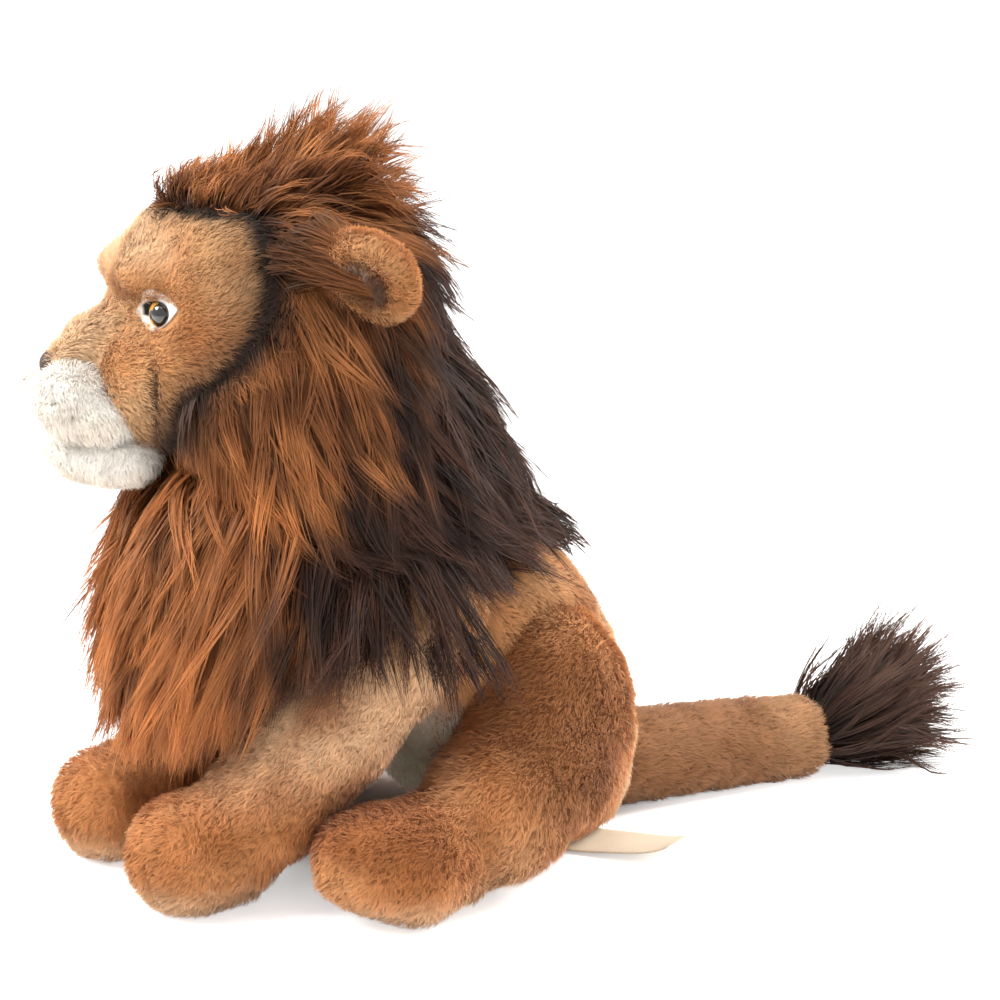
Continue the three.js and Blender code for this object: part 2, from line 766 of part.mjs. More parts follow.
// The dark tuft at the end of the tail
function tuftSolid() {
  const start = tail.rootBack + tail.length + seamGap;
  const rings = tuftShares.map(([along, wide, rise]) => ({
    middle: new THREE.Vector3(0, start + along * tuft.length, tailHeight + rise * tuft.rise),
    right: X.clone().negate(),
    up: Z,
    across: (wide * tuft.width) / 2,
    deep: (wide * tuft.width) / 2,
    lockShare: 2 * lockDepthShare,
  }));
  return loft(rings, outerSides).subtract(floorBelow(0));
}

// The bare care label, a curling strip held in the seam
function labelSolid() {
  const strip = new THREE.Shape();
  const [length, thick, curl] = [label.length, label.thickness, label.curl];
  strip.moveTo(0, 0);
  strip.quadraticCurveTo(length / 2, 0, length, curl);
  strip.lineTo(length, curl + thick);
  strip.quadraticCurveTo(length / 2, thick, 0, thick);
  const geometry = plate(strip, label.width);
  geometry.rotateX(Math.PI / 2);
  geometry.rotateZ(Math.PI / 2 - label.angle);
  geometry.translate(label.out, label.back, label.lift);
  return solid(geometry).subtract(torsoSolid(-seamGap, outerSides));
}

const plush = (color) => new THREE.MeshStandardMaterial({ color, roughness: 1, metalness: 0 });
const plastic = (color) => new THREE.MeshStandardMaterial({ color, roughness: 0.15, metalness: 0 });

const lion = new THREE.Group();
const headGroup = new THREE.Group();
headGroup.position.set(0, -neck.forward, 0);
headGroup.rotation.z = head.turn;
lion.add(headGroup);

function addPiece(name, shape, material, group = lion) {
  const mesh = new THREE.Mesh(geometryOf(shape), material);
  mesh.name = name;
  group.add(mesh);
}

// Torso
addPiece("torso_skin", torsoShell.subtract(bellyRegion(seamGap)), plush(golden));
addPiece("belly_panel", torsoShell.intersect(bellyRegion(0)), plush(white));
addPiece("torso_wadding", torsoInside.subtract(seatBagRound(-seamGap)), plush(wadding));
addPiece("seat_pellet_bag", seatBagRound(0).intersect(torsoInside), plush(wadding));
addPiece("care_label", labelSolid(), plush(white));
const hair = shoulderHair();
addPiece("mane_cape", capeSolid(hair), plush(darkBrown));
addPiece("mane_bib", bibSolid(hair), plush(rust));

// Head
let headWadding = headSolid(-plushThickness - seamGap, innerSides).subtract(neckRoom(-seamGap));
let headShell = headSolid(0, outerSides).subtract(headSolid(-plushThickness, innerSides));
headShell = headShell.subtract(neckRoom(-seamGap));
for (const side of [1, -1]) {
  headShell = headShell.subtract(shankRoom(side, eye.shankRadius + seamGap));
  headShell = headShell.subtract(domeRoom(side)).subtract(washerBed(side));
  headWadding = headWadding.subtract(washerRoom(side));
}
const noseRoom = noseSolid(seamGap);
addPiece("head_skin", headShell.subtract(noseRoom), plush(tan), headGroup);
addPiece("head_wadding", headWadding, plush(wadding), headGroup);
addPiece("muzzle", muzzleSolid(0).subtract(headRoom(seamGap)).subtract(noseRoom), plush(white), headGroup);
const chinCut = chinSolid(0).subtract(headRoom(seamGap)).subtract(muzzleSolid(seamGap));
addPiece("chin", chinCut, plush(white), headGroup);
addPiece("nose_pad", noseSolid(0), plush(darkBrown), headGroup);
addPiece("mane_crown", crownSolid(), plush(rust), headGroup);
for (const [name, side] of [["left", 1], ["right", -1]]) {
  addPiece(`eye_${name}`, eyeSolid(side), plastic(eyeBrown), headGroup);
  addPiece(`eye_washer_${name}`, washerSolid(side), plastic(white), headGroup);
  addPiece(`eye_patch_${name}`, patchSolid(side), plush(white), headGroup);
  addPiece(`ear_${name}`, placed(earShell(), earFrame(side)), plush(golden), headGroup);
  addPiece(`ear_lining_${name}`, placed(earLining(), earFrame(side)), plush(rust), headGroup);
}

// Limbs
const limbs = [["foreleg", foreleg, forelegShares], ["hindleg", hindleg, hindlegShares]];
for (const [name, side] of [["left", 1], ["right", -1]]) {
  for (const [kind, limb, shares] of limbs) {
    const pieces = limbPieces(limb, shares, side);
    addPiece(`${kind}_skin_${name}`, pieces.skin, plush(golden));
    addPiece(`${kind}_wadding_${name}`, pieces.wadding, plush(wadding));
    addPiece(`${kind}_pellet_bag_${name}`, pieces.pellets, plush(wadding));
  }
}

// Tail
const tailSkin = loft(tailRings(0), outerSides).subtract(floorBelow(0));
const tailLining = loft(tailRings(plushThickness), innerSides);
const tailOpening = rod(tailRoot, forwardAxis, tail.openingRadius, tail.width, smallSides);
addPiece("tail_skin", tailSkin.subtract(tailLining).subtract(tailOpening), plush(golden));
addPiece("tail_wadding", loft(tailRings(plushThickness + seamGap), innerSides), plush(wadding));
addPiece("tail_tuft", tuftSolid(), plush(darkBrown));

export default lion;
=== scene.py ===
import math
import bpy
import numpy as np
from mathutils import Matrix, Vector


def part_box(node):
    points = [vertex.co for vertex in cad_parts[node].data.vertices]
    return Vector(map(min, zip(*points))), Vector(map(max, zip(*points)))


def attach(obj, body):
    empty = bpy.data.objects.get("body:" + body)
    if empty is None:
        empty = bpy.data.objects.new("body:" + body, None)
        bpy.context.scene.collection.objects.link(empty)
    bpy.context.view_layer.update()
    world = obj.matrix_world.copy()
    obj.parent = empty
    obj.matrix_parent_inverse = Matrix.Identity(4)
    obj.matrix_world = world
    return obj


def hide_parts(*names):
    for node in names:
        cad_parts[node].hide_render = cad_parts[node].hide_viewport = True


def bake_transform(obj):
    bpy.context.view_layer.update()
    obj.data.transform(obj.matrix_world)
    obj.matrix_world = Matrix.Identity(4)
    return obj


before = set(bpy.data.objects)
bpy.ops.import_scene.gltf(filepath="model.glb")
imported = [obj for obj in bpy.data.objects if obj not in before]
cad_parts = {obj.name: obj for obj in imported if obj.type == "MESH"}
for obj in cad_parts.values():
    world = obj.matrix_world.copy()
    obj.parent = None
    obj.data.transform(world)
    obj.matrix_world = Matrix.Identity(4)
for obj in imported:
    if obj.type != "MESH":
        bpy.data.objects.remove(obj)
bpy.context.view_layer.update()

SEED = 11
SIDES = ((1, "left"), (-1, "right"))


# ---- numbers
def unit(v):
    return v / np.maximum(np.linalg.norm(v, axis=-1, keepdims=True), 1e-9)


def ease(x, a, b):
    t = np.clip((x - a) / (b - a), 0.0, 1.0)
    return t * t * (3 - 2 * t)


def join(a, b, k):
    """Two forms as one, softly over a width k."""
    h = np.maximum(k - np.abs(a - b), 0) / k
    return np.minimum(a, b) - h * h * k / 4


def carve(a, b, k):
    return -join(-a, b, k)


def egg(P, centre, radii):
    """About the distance from an ellipsoid, below zero inside it."""
    q = P - np.asarray(centre, float)
    r = np.asarray(radii, float)
    k = np.linalg.norm(q / r, axis=1)
    g = np.linalg.norm(q / (r * r), axis=1)
    return k * (k - 1) / np.maximum(g, 1e-6)


def shaped(P, d, *eggs):
    """A form with eggs of (centre, radii, softness) joined to it, or carved out where the softness is negative."""
    for centre, radii, k in eggs:
        e = egg(P, centre, radii)
        d = join(d, e, k) if k > 0 else carve(d, e, -k)
    return d


def cone(P, path, radii):
    """A round limb along a path."""
    path = np.asarray(path, float)
    best = None
    for a, b, ra, rb in zip(path, path[1:], radii, radii[1:]):
        d = b - a
        t = np.clip((P - a) @ d / (d @ d), 0, 1)
        s = np.linalg.norm(P - a - t[:, None] * d, axis=1) - (ra + t * (rb - ra))
        best = s if best is None else join(best, s, 6.0)
    return best


def soft_rows(rows, blur=5.0):
    """Rows of (place, value, ...) as smooth curves."""
    rows = np.asarray(sorted(rows), float)
    x = np.arange(rows[0, 0], rows[-1, 0] + 1)
    k = np.exp(-0.5 * (np.arange(-3 * blur, 3 * blur + 1) / blur) ** 2)
    k /= k.sum()
    pad = len(k) // 2
    out = []
    for c in range(1, rows.shape[1]):
        y = np.interp(x, rows[:, 0], rows[:, c])
        y = np.concatenate([2 * y[0] - y[pad:0:-1], y, 2 * y[-1] - y[-2:-pad - 2:-1]])
        out.append(np.convolve(y, k, "valid"))
    return x, out


def loft(P, rows, power, inset):
    """Flat rings up Z, rows of (z, back y, front y, half width)."""
    x, (back, front, half) = rows
    z = P[:, 2]
    b, f, h = (np.interp(z, x, v) for v in (back, front, half))
    c, r = (b + f) / 2, np.maximum((b - f) / 2 - inset, 1)
    h = np.maximum(h - inset, 1)
    q = (np.abs(P[:, 0] / h) ** power + np.abs((P[:, 1] - c) / r) ** power) ** (1 / power)
    side = (q - 1) * np.minimum(h, r)
    ends = np.maximum(x[0] + inset - z, z - x[-1] + inset)
    return carve(side, -ends, 10.0)


def wave(P, size, seed):
    """Smooth noise of about unit size over lengths of size."""
    r = np.random.default_rng(seed)
    total = np.zeros(len(P))
    for _ in range(7):
        total += np.sin(P @ unit(r.normal(size=3)) * (2 * math.pi / (size * r.uniform(0.6, 1.7))) + r.uniform(0, 6.28))
    return total / 2.6


def place(P):
    """How far points are from the middle, their y and their z."""
    return np.abs(P[:, 0]), P[:, 1], P[:, 2]


def slope(field, P, e=0.4):
    g = np.empty_like(P)
    for k in range(3):
        d = np.zeros(3)
        d[k] = e
        g[:, k] = field(P + d) - field(P - d)
    return g / (2 * e)


def settle(field, P, times):
    """Points moved on to the field's zero level."""
    for _ in range(times):
        g = slope(field, P)
        P = P - g * (field(P) / np.maximum((g * g).sum(1), 0.05))[:, None]
    return P


def skin(field, low, high, step):
    """Surface nets: vertices and quads of the field's zero level."""
    low, high = np.asarray(low, float), np.asarray(high, float)
    n = np.ceil((high - low) / step).astype(int) + 1
    axes = [low[k] + step * np.arange(n[k]) for k in range(3)]
    v = field(np.stack(np.meshgrid(*axes, indexing="ij"), -1).reshape(-1, 3)).reshape(n)
    inside = v < 0
    cells = n - 1

    def part(a, start, size=cells):
        return a[tuple(slice(o, o + s) for o, s in zip(start, size))]

    corners = list(np.ndindex(2, 2, 2))
    held = np.stack([part(inside, o) for o in corners])
    mixed = held.any(0) & ~held.all(0)
    total, count = np.zeros((*cells, 3)), np.zeros(cells)
    for o in corners:
        for ax in range(3):
            if o[ax]:
                continue
            va, vb = part(v, o), part(v, np.array(o) + (np.arange(3) == ax))
            hit = (va < 0) != (vb < 0)
            t = np.where(hit, va / np.where(hit, va - vb, 1), 0)
            for k in range(3):
                total[..., k] += np.where(hit, o[k] + (t if k == ax else 0), 0)
            count += hit
    V = low + step * (np.argwhere(mixed) + total[mixed] / count[mixed][:, None])
    index = -np.ones(cells, int)
    index[mixed] = np.arange(len(V))
    quads = []
    for ax in range(3):
        u, w = (ax + 1) % 3, (ax + 2) % 3
        along = np.arange(3) == ax
        start = 1 - along.astype(int)
        here = part(inside, start, cells - start)
        edges = np.argwhere(here != part(inside, start + along, cells - start))
        out = here[tuple(edges.T)]
        q = []
        for du, dw in ((-1, -1), (0, -1), (0, 0), (-1, 0)):
            o = edges + start
            o[:, u] += du
            o[:, w] += dw
            q.append(index[tuple(o.T)])
        q = np.stack(q, 1)
        q[~out] = q[~out][:, ::-1]
        quads.append(q)
    return settle(field, V, times=2), np.concatenate(quads)


def colour(r, g, b):
    """Picture colour, 0 to 255, as linear light."""
    c = np.array([r, g, b], float) / 255
    return np.where(c <= 0.04045, c / 12.92, ((c + 0.055) / 1.055) ** 2.4)


def blend_colours(base, *layers):
    """base colour with layers of (colour, share) over it."""
    out = base
    for c, w in layers:
        out = out + (c - out) * np.clip(w, 0, 1)[:, None]
    return out


# ---- meshes
def piece(name, V, quads, tris=None, body="torso", material=None, tint=None, along=None,
          normals=None, uv=None, replaces=()):
    quads = np.asarray(quads)
    tris = np.zeros((0, 3), int) if tris is None else np.asarray(tris)
    me = bpy.data.meshes.new(name)
    me.vertices.add(len(V))
    me.vertices.foreach_set("co", (np.asarray(V) * 0.001).astype(np.float32).ravel())
    loops = np.concatenate([quads.ravel(), tris.ravel()]).astype(np.int32)
    me.loops.add(len(loops))
    me.loops.foreach_set("vertex_index", loops)
    me.polygons.add(len(quads) + len(tris))
    starts = np.concatenate([np.arange(len(quads)) * 4, len(quads) * 4 + np.arange(len(tris)) * 3])
    me.polygons.foreach_set("loop_start", starts.astype(np.int32))
    if uv is not None:
        me.uv_layers.new(name="OFBake").uv.foreach_set("vector", uv[loops].astype(np.float32).ravel())
    me.update(calc_edges=True)
    me.polygons.foreach_set("use_smooth", np.ones(len(me.polygons), bool))
    if tint is not None:
        rgba = np.ones((len(V), 4), np.float32)
        rgba[:, :3] = tint
        me.attributes.new("tint", "FLOAT_COLOR", "POINT").data.foreach_set("color", rgba.ravel())
    if along is not None:
        me.attributes.new("along", "FLOAT", "POINT").data.foreach_set("value", along.astype(np.float32))
    if normals is not None:
        me.normals_split_custom_set_from_vertices(normals)
    ob = bpy.data.objects.new(name, me)
    bpy.context.scene.collection.objects.link(ob)
    if material:
        me.materials.append(material)
    if body:
        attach(ob, body)
    if replaces:
        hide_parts(*replaces)
    return ob


def sewn(name, field, box, step, body, material, replaces, paint=None):
    """The skin of a field as a piece. paint is one colour or a function of places and normals."""
    V, Q = skin(field, *box, step)
    tint = paint(V, unit(slope(field, V))) if callable(paint) else paint
    piece(name, V, Q, None, body, material, tint, replaces=replaces)
    return V, Q


def scatter(V, quads, number, rng):
    """Points spread evenly over a mesh of quads."""
    T = np.concatenate([quads[:, [0, 1, 2]], quads[:, [0, 2, 3]]])
    a, b, c = V[T[:, 0]], V[T[:, 1]], V[T[:, 2]]
    area = np.linalg.norm(np.cross(b - a, c - a), axis=1)
    pick = rng.choice(len(T), number, p=area / area.sum())
    u, v = rng.random(number), rng.random(number)
    over = u + v > 1
    u[over], v[over] = 1 - u[over], 1 - v[over]
    return a[pick] + u[:, None] * (b - a)[pick] + v[:, None] * (c - a)[pick]


def ribbons(lines, normal, width, twist, rng):
    """Tapered ribbons on lines of points (n, k, 3), facing along normal (n, 3)."""
    n, k = lines.shape[:2]
    tan = np.empty_like(lines)
    tan[:, 1:-1] = lines[:, 2:] - lines[:, :-2]
    tan[:, 0] = lines[:, 1] - lines[:, 0]
    tan[:, -1] = lines[:, -1] - lines[:, -2]
    tan = unit(tan)
    side = unit(np.cross(tan, normal[:, None]))
    up = np.cross(side, tan)
    turn = rng.uniform(-twist, twist, n)[:, None, None]
    wide = side * np.cos(turn) + up * np.sin(turn)
    t = np.linspace(0, 1, k)
    half = (wide * (width[:, None] * (1 - t ** 2.2) ** 0.8 / 2)[..., None])[:, :-1]
    V = np.concatenate([np.stack([lines[:, :-1] - half, lines[:, :-1] + half], 2).reshape(n, -1, 3), lines[:, -1:]], 1)
    per = 2 * (k - 1) + 1
    base = (np.arange(n) * per)[:, None]
    i = np.arange(k - 2)[None] * 2
    quads = np.stack([base + i, base + i + 1, base + i + 3, base + i + 2], -1).reshape(-1, 4)
    last = base[:, 0] + 2 * (k - 2)
    tris = np.stack([last, last + 1, last + 2], -1)
    spread = np.concatenate([np.repeat(np.arange(k - 1), 2), [k - 1]])
    face = unit(np.cross(wide, tan))
    return V.reshape(-1, 3), quads, tris, spread, face


UV_ROWS = 40


def strand_piece(name, lines, normal, width, tint, vary, body, material, rng, twist=0.5, soft=0.7):
    """Strands as one mesh. tint is per point of each line (n, k, 3), or per line (n, 3)."""
    n, k = lines.shape[:2]
    lines = np.maximum(lines, [-999, -999, 0.5])
    if tint.ndim == 2:
        tint = np.repeat(tint[:, None], k, 1)
    order = np.argsort(tint.mean((1, 2)) + 0.02 * vary)
    lines, normal, tint, vary = lines[order], normal[order], tint[order], vary[order]
    width = np.broadcast_to(np.asarray(width, float), n)[order]
    V, quads, tris, spread, face = ribbons(lines, normal, width, twist, rng)
    N = unit(normal[:, None] * soft + face * (1 - soft))[:, spread].reshape(-1, 3)
    t = np.linspace(0, 1, k)[spread]
    per = len(spread)
    rows = np.repeat(np.arange(n), per)
    lane = np.tile(np.where(np.arange(per) % 2 == 0, 0.15, 0.85), n)
    lane[per - 1::per] = 0.5
    columns = math.ceil(n / UV_ROWS)
    t = np.tile(t, n)
    uv = np.stack([((rows % columns) + lane) / columns, ((rows // columns) + t * 0.9 + 0.05) / UV_ROWS], 1)
    return piece(name, V, quads, tris, body, material, tint=tint[:, spread].reshape(-1, 3), along=t,
                 normals=N, uv=np.clip(uv, 0, 1))


def clumps(P, size, seed):
    """A clump for each point, in cells of about a size with wandering edges: its number and its middle."""
    drift = np.stack([wave(P, 2.5 * size, seed + k) for k in range(3)], 1) * 0.4 * size
    who = np.unique(np.floor((P + drift) / size).astype(int), axis=0, return_inverse=True)[1].ravel()
    middle = np.stack([np.bincount(who, P[:, k]) for k in range(3)], 1) / np.bincount(who)[:, None]
    return who, middle[who]


def pile(name, field, V, quads, comb, number, length, lean, width, paint, body, slot, material, seed,
         keep=None, ruffle=0.35, clump=4.4, gather=1.0):
    """Short plush: number strands grown from a skin, combed along comb(P)."""
    rng = np.random.default_rng(seed)
    P = scatter(V, quads, number, rng)
    if keep is not None:
        P = P[keep(P)]
    P = settle(field, P, times=1)
    n = unit(slope(field, P))
    c = comb(P)
    nap = 0.5 * wave(P, 26, seed + 1) + 0.35 * wave(P, 9, seed + 2)
    c = unit(c - n * (c * n).sum(1)[:, None] + 1e-6)
    s = np.cross(n, c)
    turn = nap * ruffle * 1.6 + rng.normal(0, ruffle, len(P))
    c = c * np.cos(turn)[:, None] + s * np.sin(turn)[:, None]
    L = length(P) if callable(length) else length
    L = L * rng.uniform(0.75, 1.15, len(P)) * (1 + 0.12 * wave(P, 14, seed + 3))
    a = np.clip(lean + 0.12 * wave(P, 11, seed + 4) + rng.normal(0, 0.1, len(P)), 0.15, 1.3)
    up, go = (np.cos(a) * L)[:, None], (np.sin(a) * L)[:, None]
    who, middle = clumps(P, clump, seed + 6)
    pull = (middle - P) * gather
    pull = pull - n * (pull * n).sum(1)[:, None]
    lines = np.stack([P - n * 0.5, P + n * up * 0.62 + c * go * 0.42 + pull * 0.14,
                      P + n * up * 0.92 + c * go + pull * 0.36], 1)
    vary = rng.normal(0, 1, len(P)) * 0.6 + 0.4 * wave(P, 5, seed + 5)
    shade = rng.normal(0, 1, who.max() + 1)[who]
    tint = paint(P, n) * (1 + 0.05 * vary + 0.05 * nap + 0.045 * shade)[:, None]
    strand_piece(name, lines, n, width, np.clip(tint, 0, 1), vary, body, material, rng)


# ---- materials
def node(nt, kind, **values):
    """A new shader node, its sockets or settings set by name."""
    n = nt.nodes.new("ShaderNode" + kind)
    for word, value in values.items():
        socket = word.replace("_", " ")
        if socket in n.inputs:
            n.inputs[socket].default_value = value
        else:
            setattr(n, word, value)
    return n


def wire(nt, *ends):
    """Links, each from a socket or from a node's first output, to a socket."""
    for a, b in ends:
        nt.links.new(a.outputs[0] if hasattr(a, "outputs") else a, b)


def new_material(name):
    m = bpy.data.materials.new(name)
    m.use_nodes = True
    m.node_tree.nodes.clear()
    return m, m.node_tree


def finished(m, shader):
    wire(m.node_tree, (shader, node(m.node_tree, "OutputMaterial").inputs[0]))
    return m


def ramp(nt, source, *stops):
    """The source through a ramp with stops of (place, brightness)."""
    r = node(nt, "ValToRGB")
    el = r.color_ramp.elements
    while len(el) < len(stops):
        el.new(0.5)
    for e, (p, c) in zip(el, stops):
        e.position = p
        e.color = (*(c if hasattr(c, "__len__") else (c, c, c)), 1)
    wire(nt, (source, r.inputs[0]))
    return r.outputs[0]


def multiply(nt, a, b):
    m = node(nt, "Mix", data_type="RGBA", blend_type="MULTIPLY")
    m.inputs[0].default_value = 1
    wire(nt, (a, m.inputs[6]), (b, m.inputs[7]))
    return m.outputs[2]


def noise(nt, scale, detail=3.0):
    n = node(nt, "TexNoise", Scale=scale, Detail=detail)
    wire(nt, (node(nt, "TexCoord").outputs["Object"], n.inputs["Vector"]))
    return n.outputs[0]


def attribute(nt, name, output="Fac"):
    return node(nt, "Attribute", attribute_name=name).outputs[output]


def bump(nt, shader, strength, distance, scale, detail):
    b = node(nt, "Bump", Strength=strength, Distance=distance)
    wire(nt, (noise(nt, scale, detail), b.inputs["Height"]), (b, shader.inputs["Normal"]))


def strand_material(name, roots, middle, tips, patch, rough, through, sheen=0.0):
    """Pile or hair: tint, darker at the roots, lighter at the tips, with soft patches over the cloth."""
    m, nt = new_material(name)
    c = attribute(nt, "tint", "Color")
    c = multiply(nt, c, ramp(nt, attribute(nt, "along"), (0.0, roots), (0.45, middle), (1.0, tips)))
    c = multiply(nt, c, ramp(nt, noise(nt, 55.0), (0.3, 1 - patch), (0.7, 1.0)))
    p = node(nt, "BsdfPrincipled", Roughness=rough, Sheen_Weight=sheen, Sheen_Roughness=0.5, Specular_IOR_Level=0.25)
    t = node(nt, "BsdfTranslucent")
    mix = node(nt, "MixShader")
    mix.inputs[0].default_value = through
    wire(nt, (c, p.inputs["Base Color"]), (c, t.inputs["Color"]), (p, mix.inputs[1]), (t, mix.inputs[2]))
    return finished(m, mix)


def cloth_material(name, base=None, rough=0.9, grain=900.0, depth=0.4, dark=0.75, patch=0.2):
    """Backing cloth under the pile, felt, tape or wadding. base None takes the tint of the mesh. dark scales the colour
    down: on the backing it is painted shade that shows between the clumps of pile.
    """
    m, nt = new_material(name)
    if base is None:
        c = attribute(nt, "tint", "Color")
    else:
        c = node(nt, "RGB").outputs[0]
        c.default_value = (*base, 1)
    c = multiply(nt, c, ramp(nt, noise(nt, 60.0, 4.0), (0.3, dark * (1 - patch)), (0.7, dark)))
    p = node(nt, "BsdfPrincipled", Roughness=rough, Sheen_Weight=0.2, Specular_IOR_Level=0.2)
    bump(nt, p, depth, 0.0006, grain, 2.0)
    wire(nt, (c, p.inputs["Base Color"]))
    return finished(m, p)


def glossy_material(name, base, rough, coat=0.0, dents=0.0, scale=900.0, change=0.12):
    """Plastic or leathery cloth. base None takes the tint of the mesh."""
    m, nt = new_material(name)
    if base is None:
        c = attribute(nt, "tint", "Color")
    else:
        c = ramp(nt, noise(nt, scale / 3), (0.3, tuple(np.asarray(base) * (1 - change))), (0.7, tuple(base)))
    p = node(nt, "BsdfPrincipled", Roughness=rough, Coat_Weight=coat, Coat_Roughness=0.03, IOR=1.49)
    wire(nt, (c, p.inputs["Base Color"]))
    if dents:
        bump(nt, p, dents, 0.0004, scale, 3.0)
    return finished(m, p)


PLUSH = strand_material("plush pile", 0.72, 0.94, 1.06, 0.08, 0.75, 0.30, 0.25)
WHITE_PLUSH = strand_material("white pile", 0.84, 1.0, 1.06, 0.04, 0.75, 0.40, 0.25)
HAIR = strand_material("long hair", 0.3, 0.85, 1.28, 0.18, 0.55, 0.30)
# The backing is a little darker than its pile: painted shade in the gaps between clumps.
BACKING = cloth_material("knitted backing", dark=0.88)
WHITE_BACKING = cloth_material("white backing", dark=1.0, patch=0.05)
WADDING = cloth_material("wadding", (0.8, 0.79, 0.76), grain=400.0, depth=0.8, dark=1.0)
BAG = cloth_material("pellet bag", (0.62, 0.6, 0.55), grain=1500.0, depth=0.5, dark=1.0)


# ---- colours
GOLD = colour(214, 150, 94)
PALE_GOLD = colour(232, 188, 140)
DEEP_GOLD = colour(184, 118, 66)
RUST = colour(134, 82, 46)
ORANGE = colour(194, 128, 76)
DARK = colour(54, 33, 24)
# Near black, used as painted shade: under the locks of the mane and the tuft, and along the mane's edge on the face.
BLACKISH = colour(44, 32, 28)
WHITE = colour(250, 246, 240)
CREAM = colour(236, 214, 178)
SHADED = colour(150, 94, 54)
SEAT = colour(244, 214, 174)



# ---- forms of the body
REACH = 6.0  # of the right forepaw, beyond the left
TORSO_ROWS = soft_rows([(0, 20, -34, 35.8), (7.1, 28, -45.6, 45.4), (20, 34, -58, 51.7), (38, 37, -71, 55.1),
                        (57, 36, -90.8, 56), (76, 30.5, -112, 55.7), (95, 20.5, -129, 54), (112, 8, -138.7, 51.7),
                        (128, -7.5, -142.5, 48.8), (140.6, -26.6, -142, 45), (158, -47.5, -139.7, 38)])
BOXES = {"torso": ((-66, -152, -2), (66, 52, 166)), "head": ((-62, -205, 150), (58, -55, 276)),
         "tail": ((-22, 20, -4), (22, 134, 40)), "foreleg": ((8, -204, -2), (82, -48, 144)),
         "hindleg": ((14, -146, -2), (116, 46, 118))}


def sided(P, side):
    return P * np.array([side, 1, 1])


def box_of(word, side=1):
    """The corners of the room that a skin needs."""
    a, b = sided(np.array(BOXES[word], float), side)
    return np.minimum(a, b), np.maximum(a, b)


def torso(P):
    return shaped(P, loft(P, TORSO_ROWS, 2.15, 2.2), *(((s * 36, -38, 96), (24, 40, 30), 14) for s in (-1, 1)))


def toe_grooves(P, d, middle, y, places):
    return shaped(P, d, *(((middle + x, y, 16 - abs(x) * 0.2), (1.6, 8, 11), -4) for x in places))


def on_floor(P, d):
    """The form, flat where it rests on the floor."""
    return carve(d, P[:, 2] - 0.4, 3)


def foreleg(P, reach=0.0):
    paw = -165.5 - reach
    d = egg(P, (53, -82, 110), (24, 29, 30))
    d = join(d, cone(P, [(54, -92, 96), (50, -112, 70), (43, -135, 41), (37, -154, 24), (34.5, paw, 21.5)],
                     [24, 22.5, 21.3, 20.6, 20.2]), 12)
    d = shaped(P, d, ((35, paw - 1, 20.8), (23.5, 19.5, 18.8), 8))
    return on_floor(P, toe_grooves(P, d, 35, paw - 21.5, (-8, 0.5, 9)))


def hindleg(P):
    d = egg(P, (55, -22, 60), (28, 32, 46))
    d = join(d, cone(P, [(64, -36, 47), (73, -54, 35), (79, -78, 25), (81, -100, 24)], [30, 26.5, 20, 20]), 9)
    d = shaped(P, d, ((87, -95, 21), (19.5, 18, 19), 7), ((80, -112, 25.5), (18.5, 18.5, 17), 7),
               ((109, -71, 28), (13, 4, 24), -10))
    d = toe_grooves(P, d, 81, -131, (-8, 1, 10))
    skirt = np.maximum(torso(P) + 1.2, egg(P, (56, -14, 50), (44, 56, 54)))
    return on_floor(P, join(d, skirt, 3 + 22 * ease(P[:, 1] - 0.5 * (P[:, 2] - 60), -28, 12)))


def leg(word, side):
    """The field of one leg. The right forepaw reaches further than the left."""
    if word == "foreleg":
        return lambda P: foreleg(sided(P, side), REACH if side < 0 else 0.0)
    return lambda P: hindleg(sided(P, side))


def tail(P):
    d = cone(P, [(0, 34, 20.5), (0, 122, 17)], [18.4, 16.2])
    return carve(d, 130.5 - P[:, 1], 4)


# ---- forms of the head, in its own frame: l to its left, f forwards, z up
TURN = math.radians(-12)
COS, SIN = math.cos(TURN), math.sin(TURN)
NECK_Y = -100


def to_head(P):
    x, y, z = (P - [0, NECK_Y, 0]).T
    return np.stack([x * COS + y * SIN, x * SIN - y * COS, z], 1)


def head_way(d):
    """A direction (l, f, z) in the part's frame."""
    l, f, z = np.moveaxis(np.asarray(d, float), -1, 0)
    return np.stack([l * COS + f * SIN, l * SIN - f * COS, z], -1)


def from_head(H):
    return head_way(H) + [0, NECK_Y, 0]


def mirrored(H):
    M = H.copy()
    M[:, 0] = np.abs(M[:, 0])
    return M


def face_form(H):
    M = mirrored(H)
    d = shaped(M, egg(M, (0, 20, 222), (46, 45, 44)), ((0, 42, 236), (28, 29, 28), 12),
               ((23, 34, 242), (20, 20, 18), 10), ((14, 62, 238.5), (14, 13, 8.5), 7))
    d = join(d, cone(M, [(0, 62, 221), (0, 82, 210), (0, 88.5, 205.5)], [12, 9.8, 8]), 9)
    return shaped(M, d, ((5.2, 92, 205.6), (4.6, 6.2, 4.6), 3), ((15, 61, 196.5), (20.5, 20.5, 24), 10),
                  ((27, 40, 200), (16, 22, 26), 12), ((29, 72, 226.5), (9, 13, 6.5), -7),
                  ((36, 63.5, 195), (12, 0.9, 17), -3))


def head_skin(P):
    return face_form(to_head(P))


def muzzle(P):
    M = mirrored(to_head(P))
    return shaped(M, egg(M, (12.5, 87, 190.5), (15, 17.5, 13)), ((13, 93, 194.5), (9.5, 12.4, 10), 5),
                  ((18, 77, 185.5), (11.5, 12, 10), 7), ((0, 81, 191), (13, 18, 11), 6),
                  ((0, 106, 188), (1.5, 9, 16), -4))


def chin(P):
    M = mirrored(to_head(P))
    return shaped(M, egg(M, (0, 80.5, 170.5), (19, 20, 11)), ((16.5, 72.5, 171.5), (13.5, 12.5, 9.8), 12))


def ear_axes():
    """The left ear's sewn line, its way to the tip, its way out of the hollow, and its root, in the head's frame."""
    u = unit(np.array([0.09, -0.64, -0.76]))
    v = np.array([0.75, -0.45, 0.4])
    v = unit(v - u * (u @ v))
    return u, v, -np.cross(u, v), np.array([51.45, -9.05, 237.95])
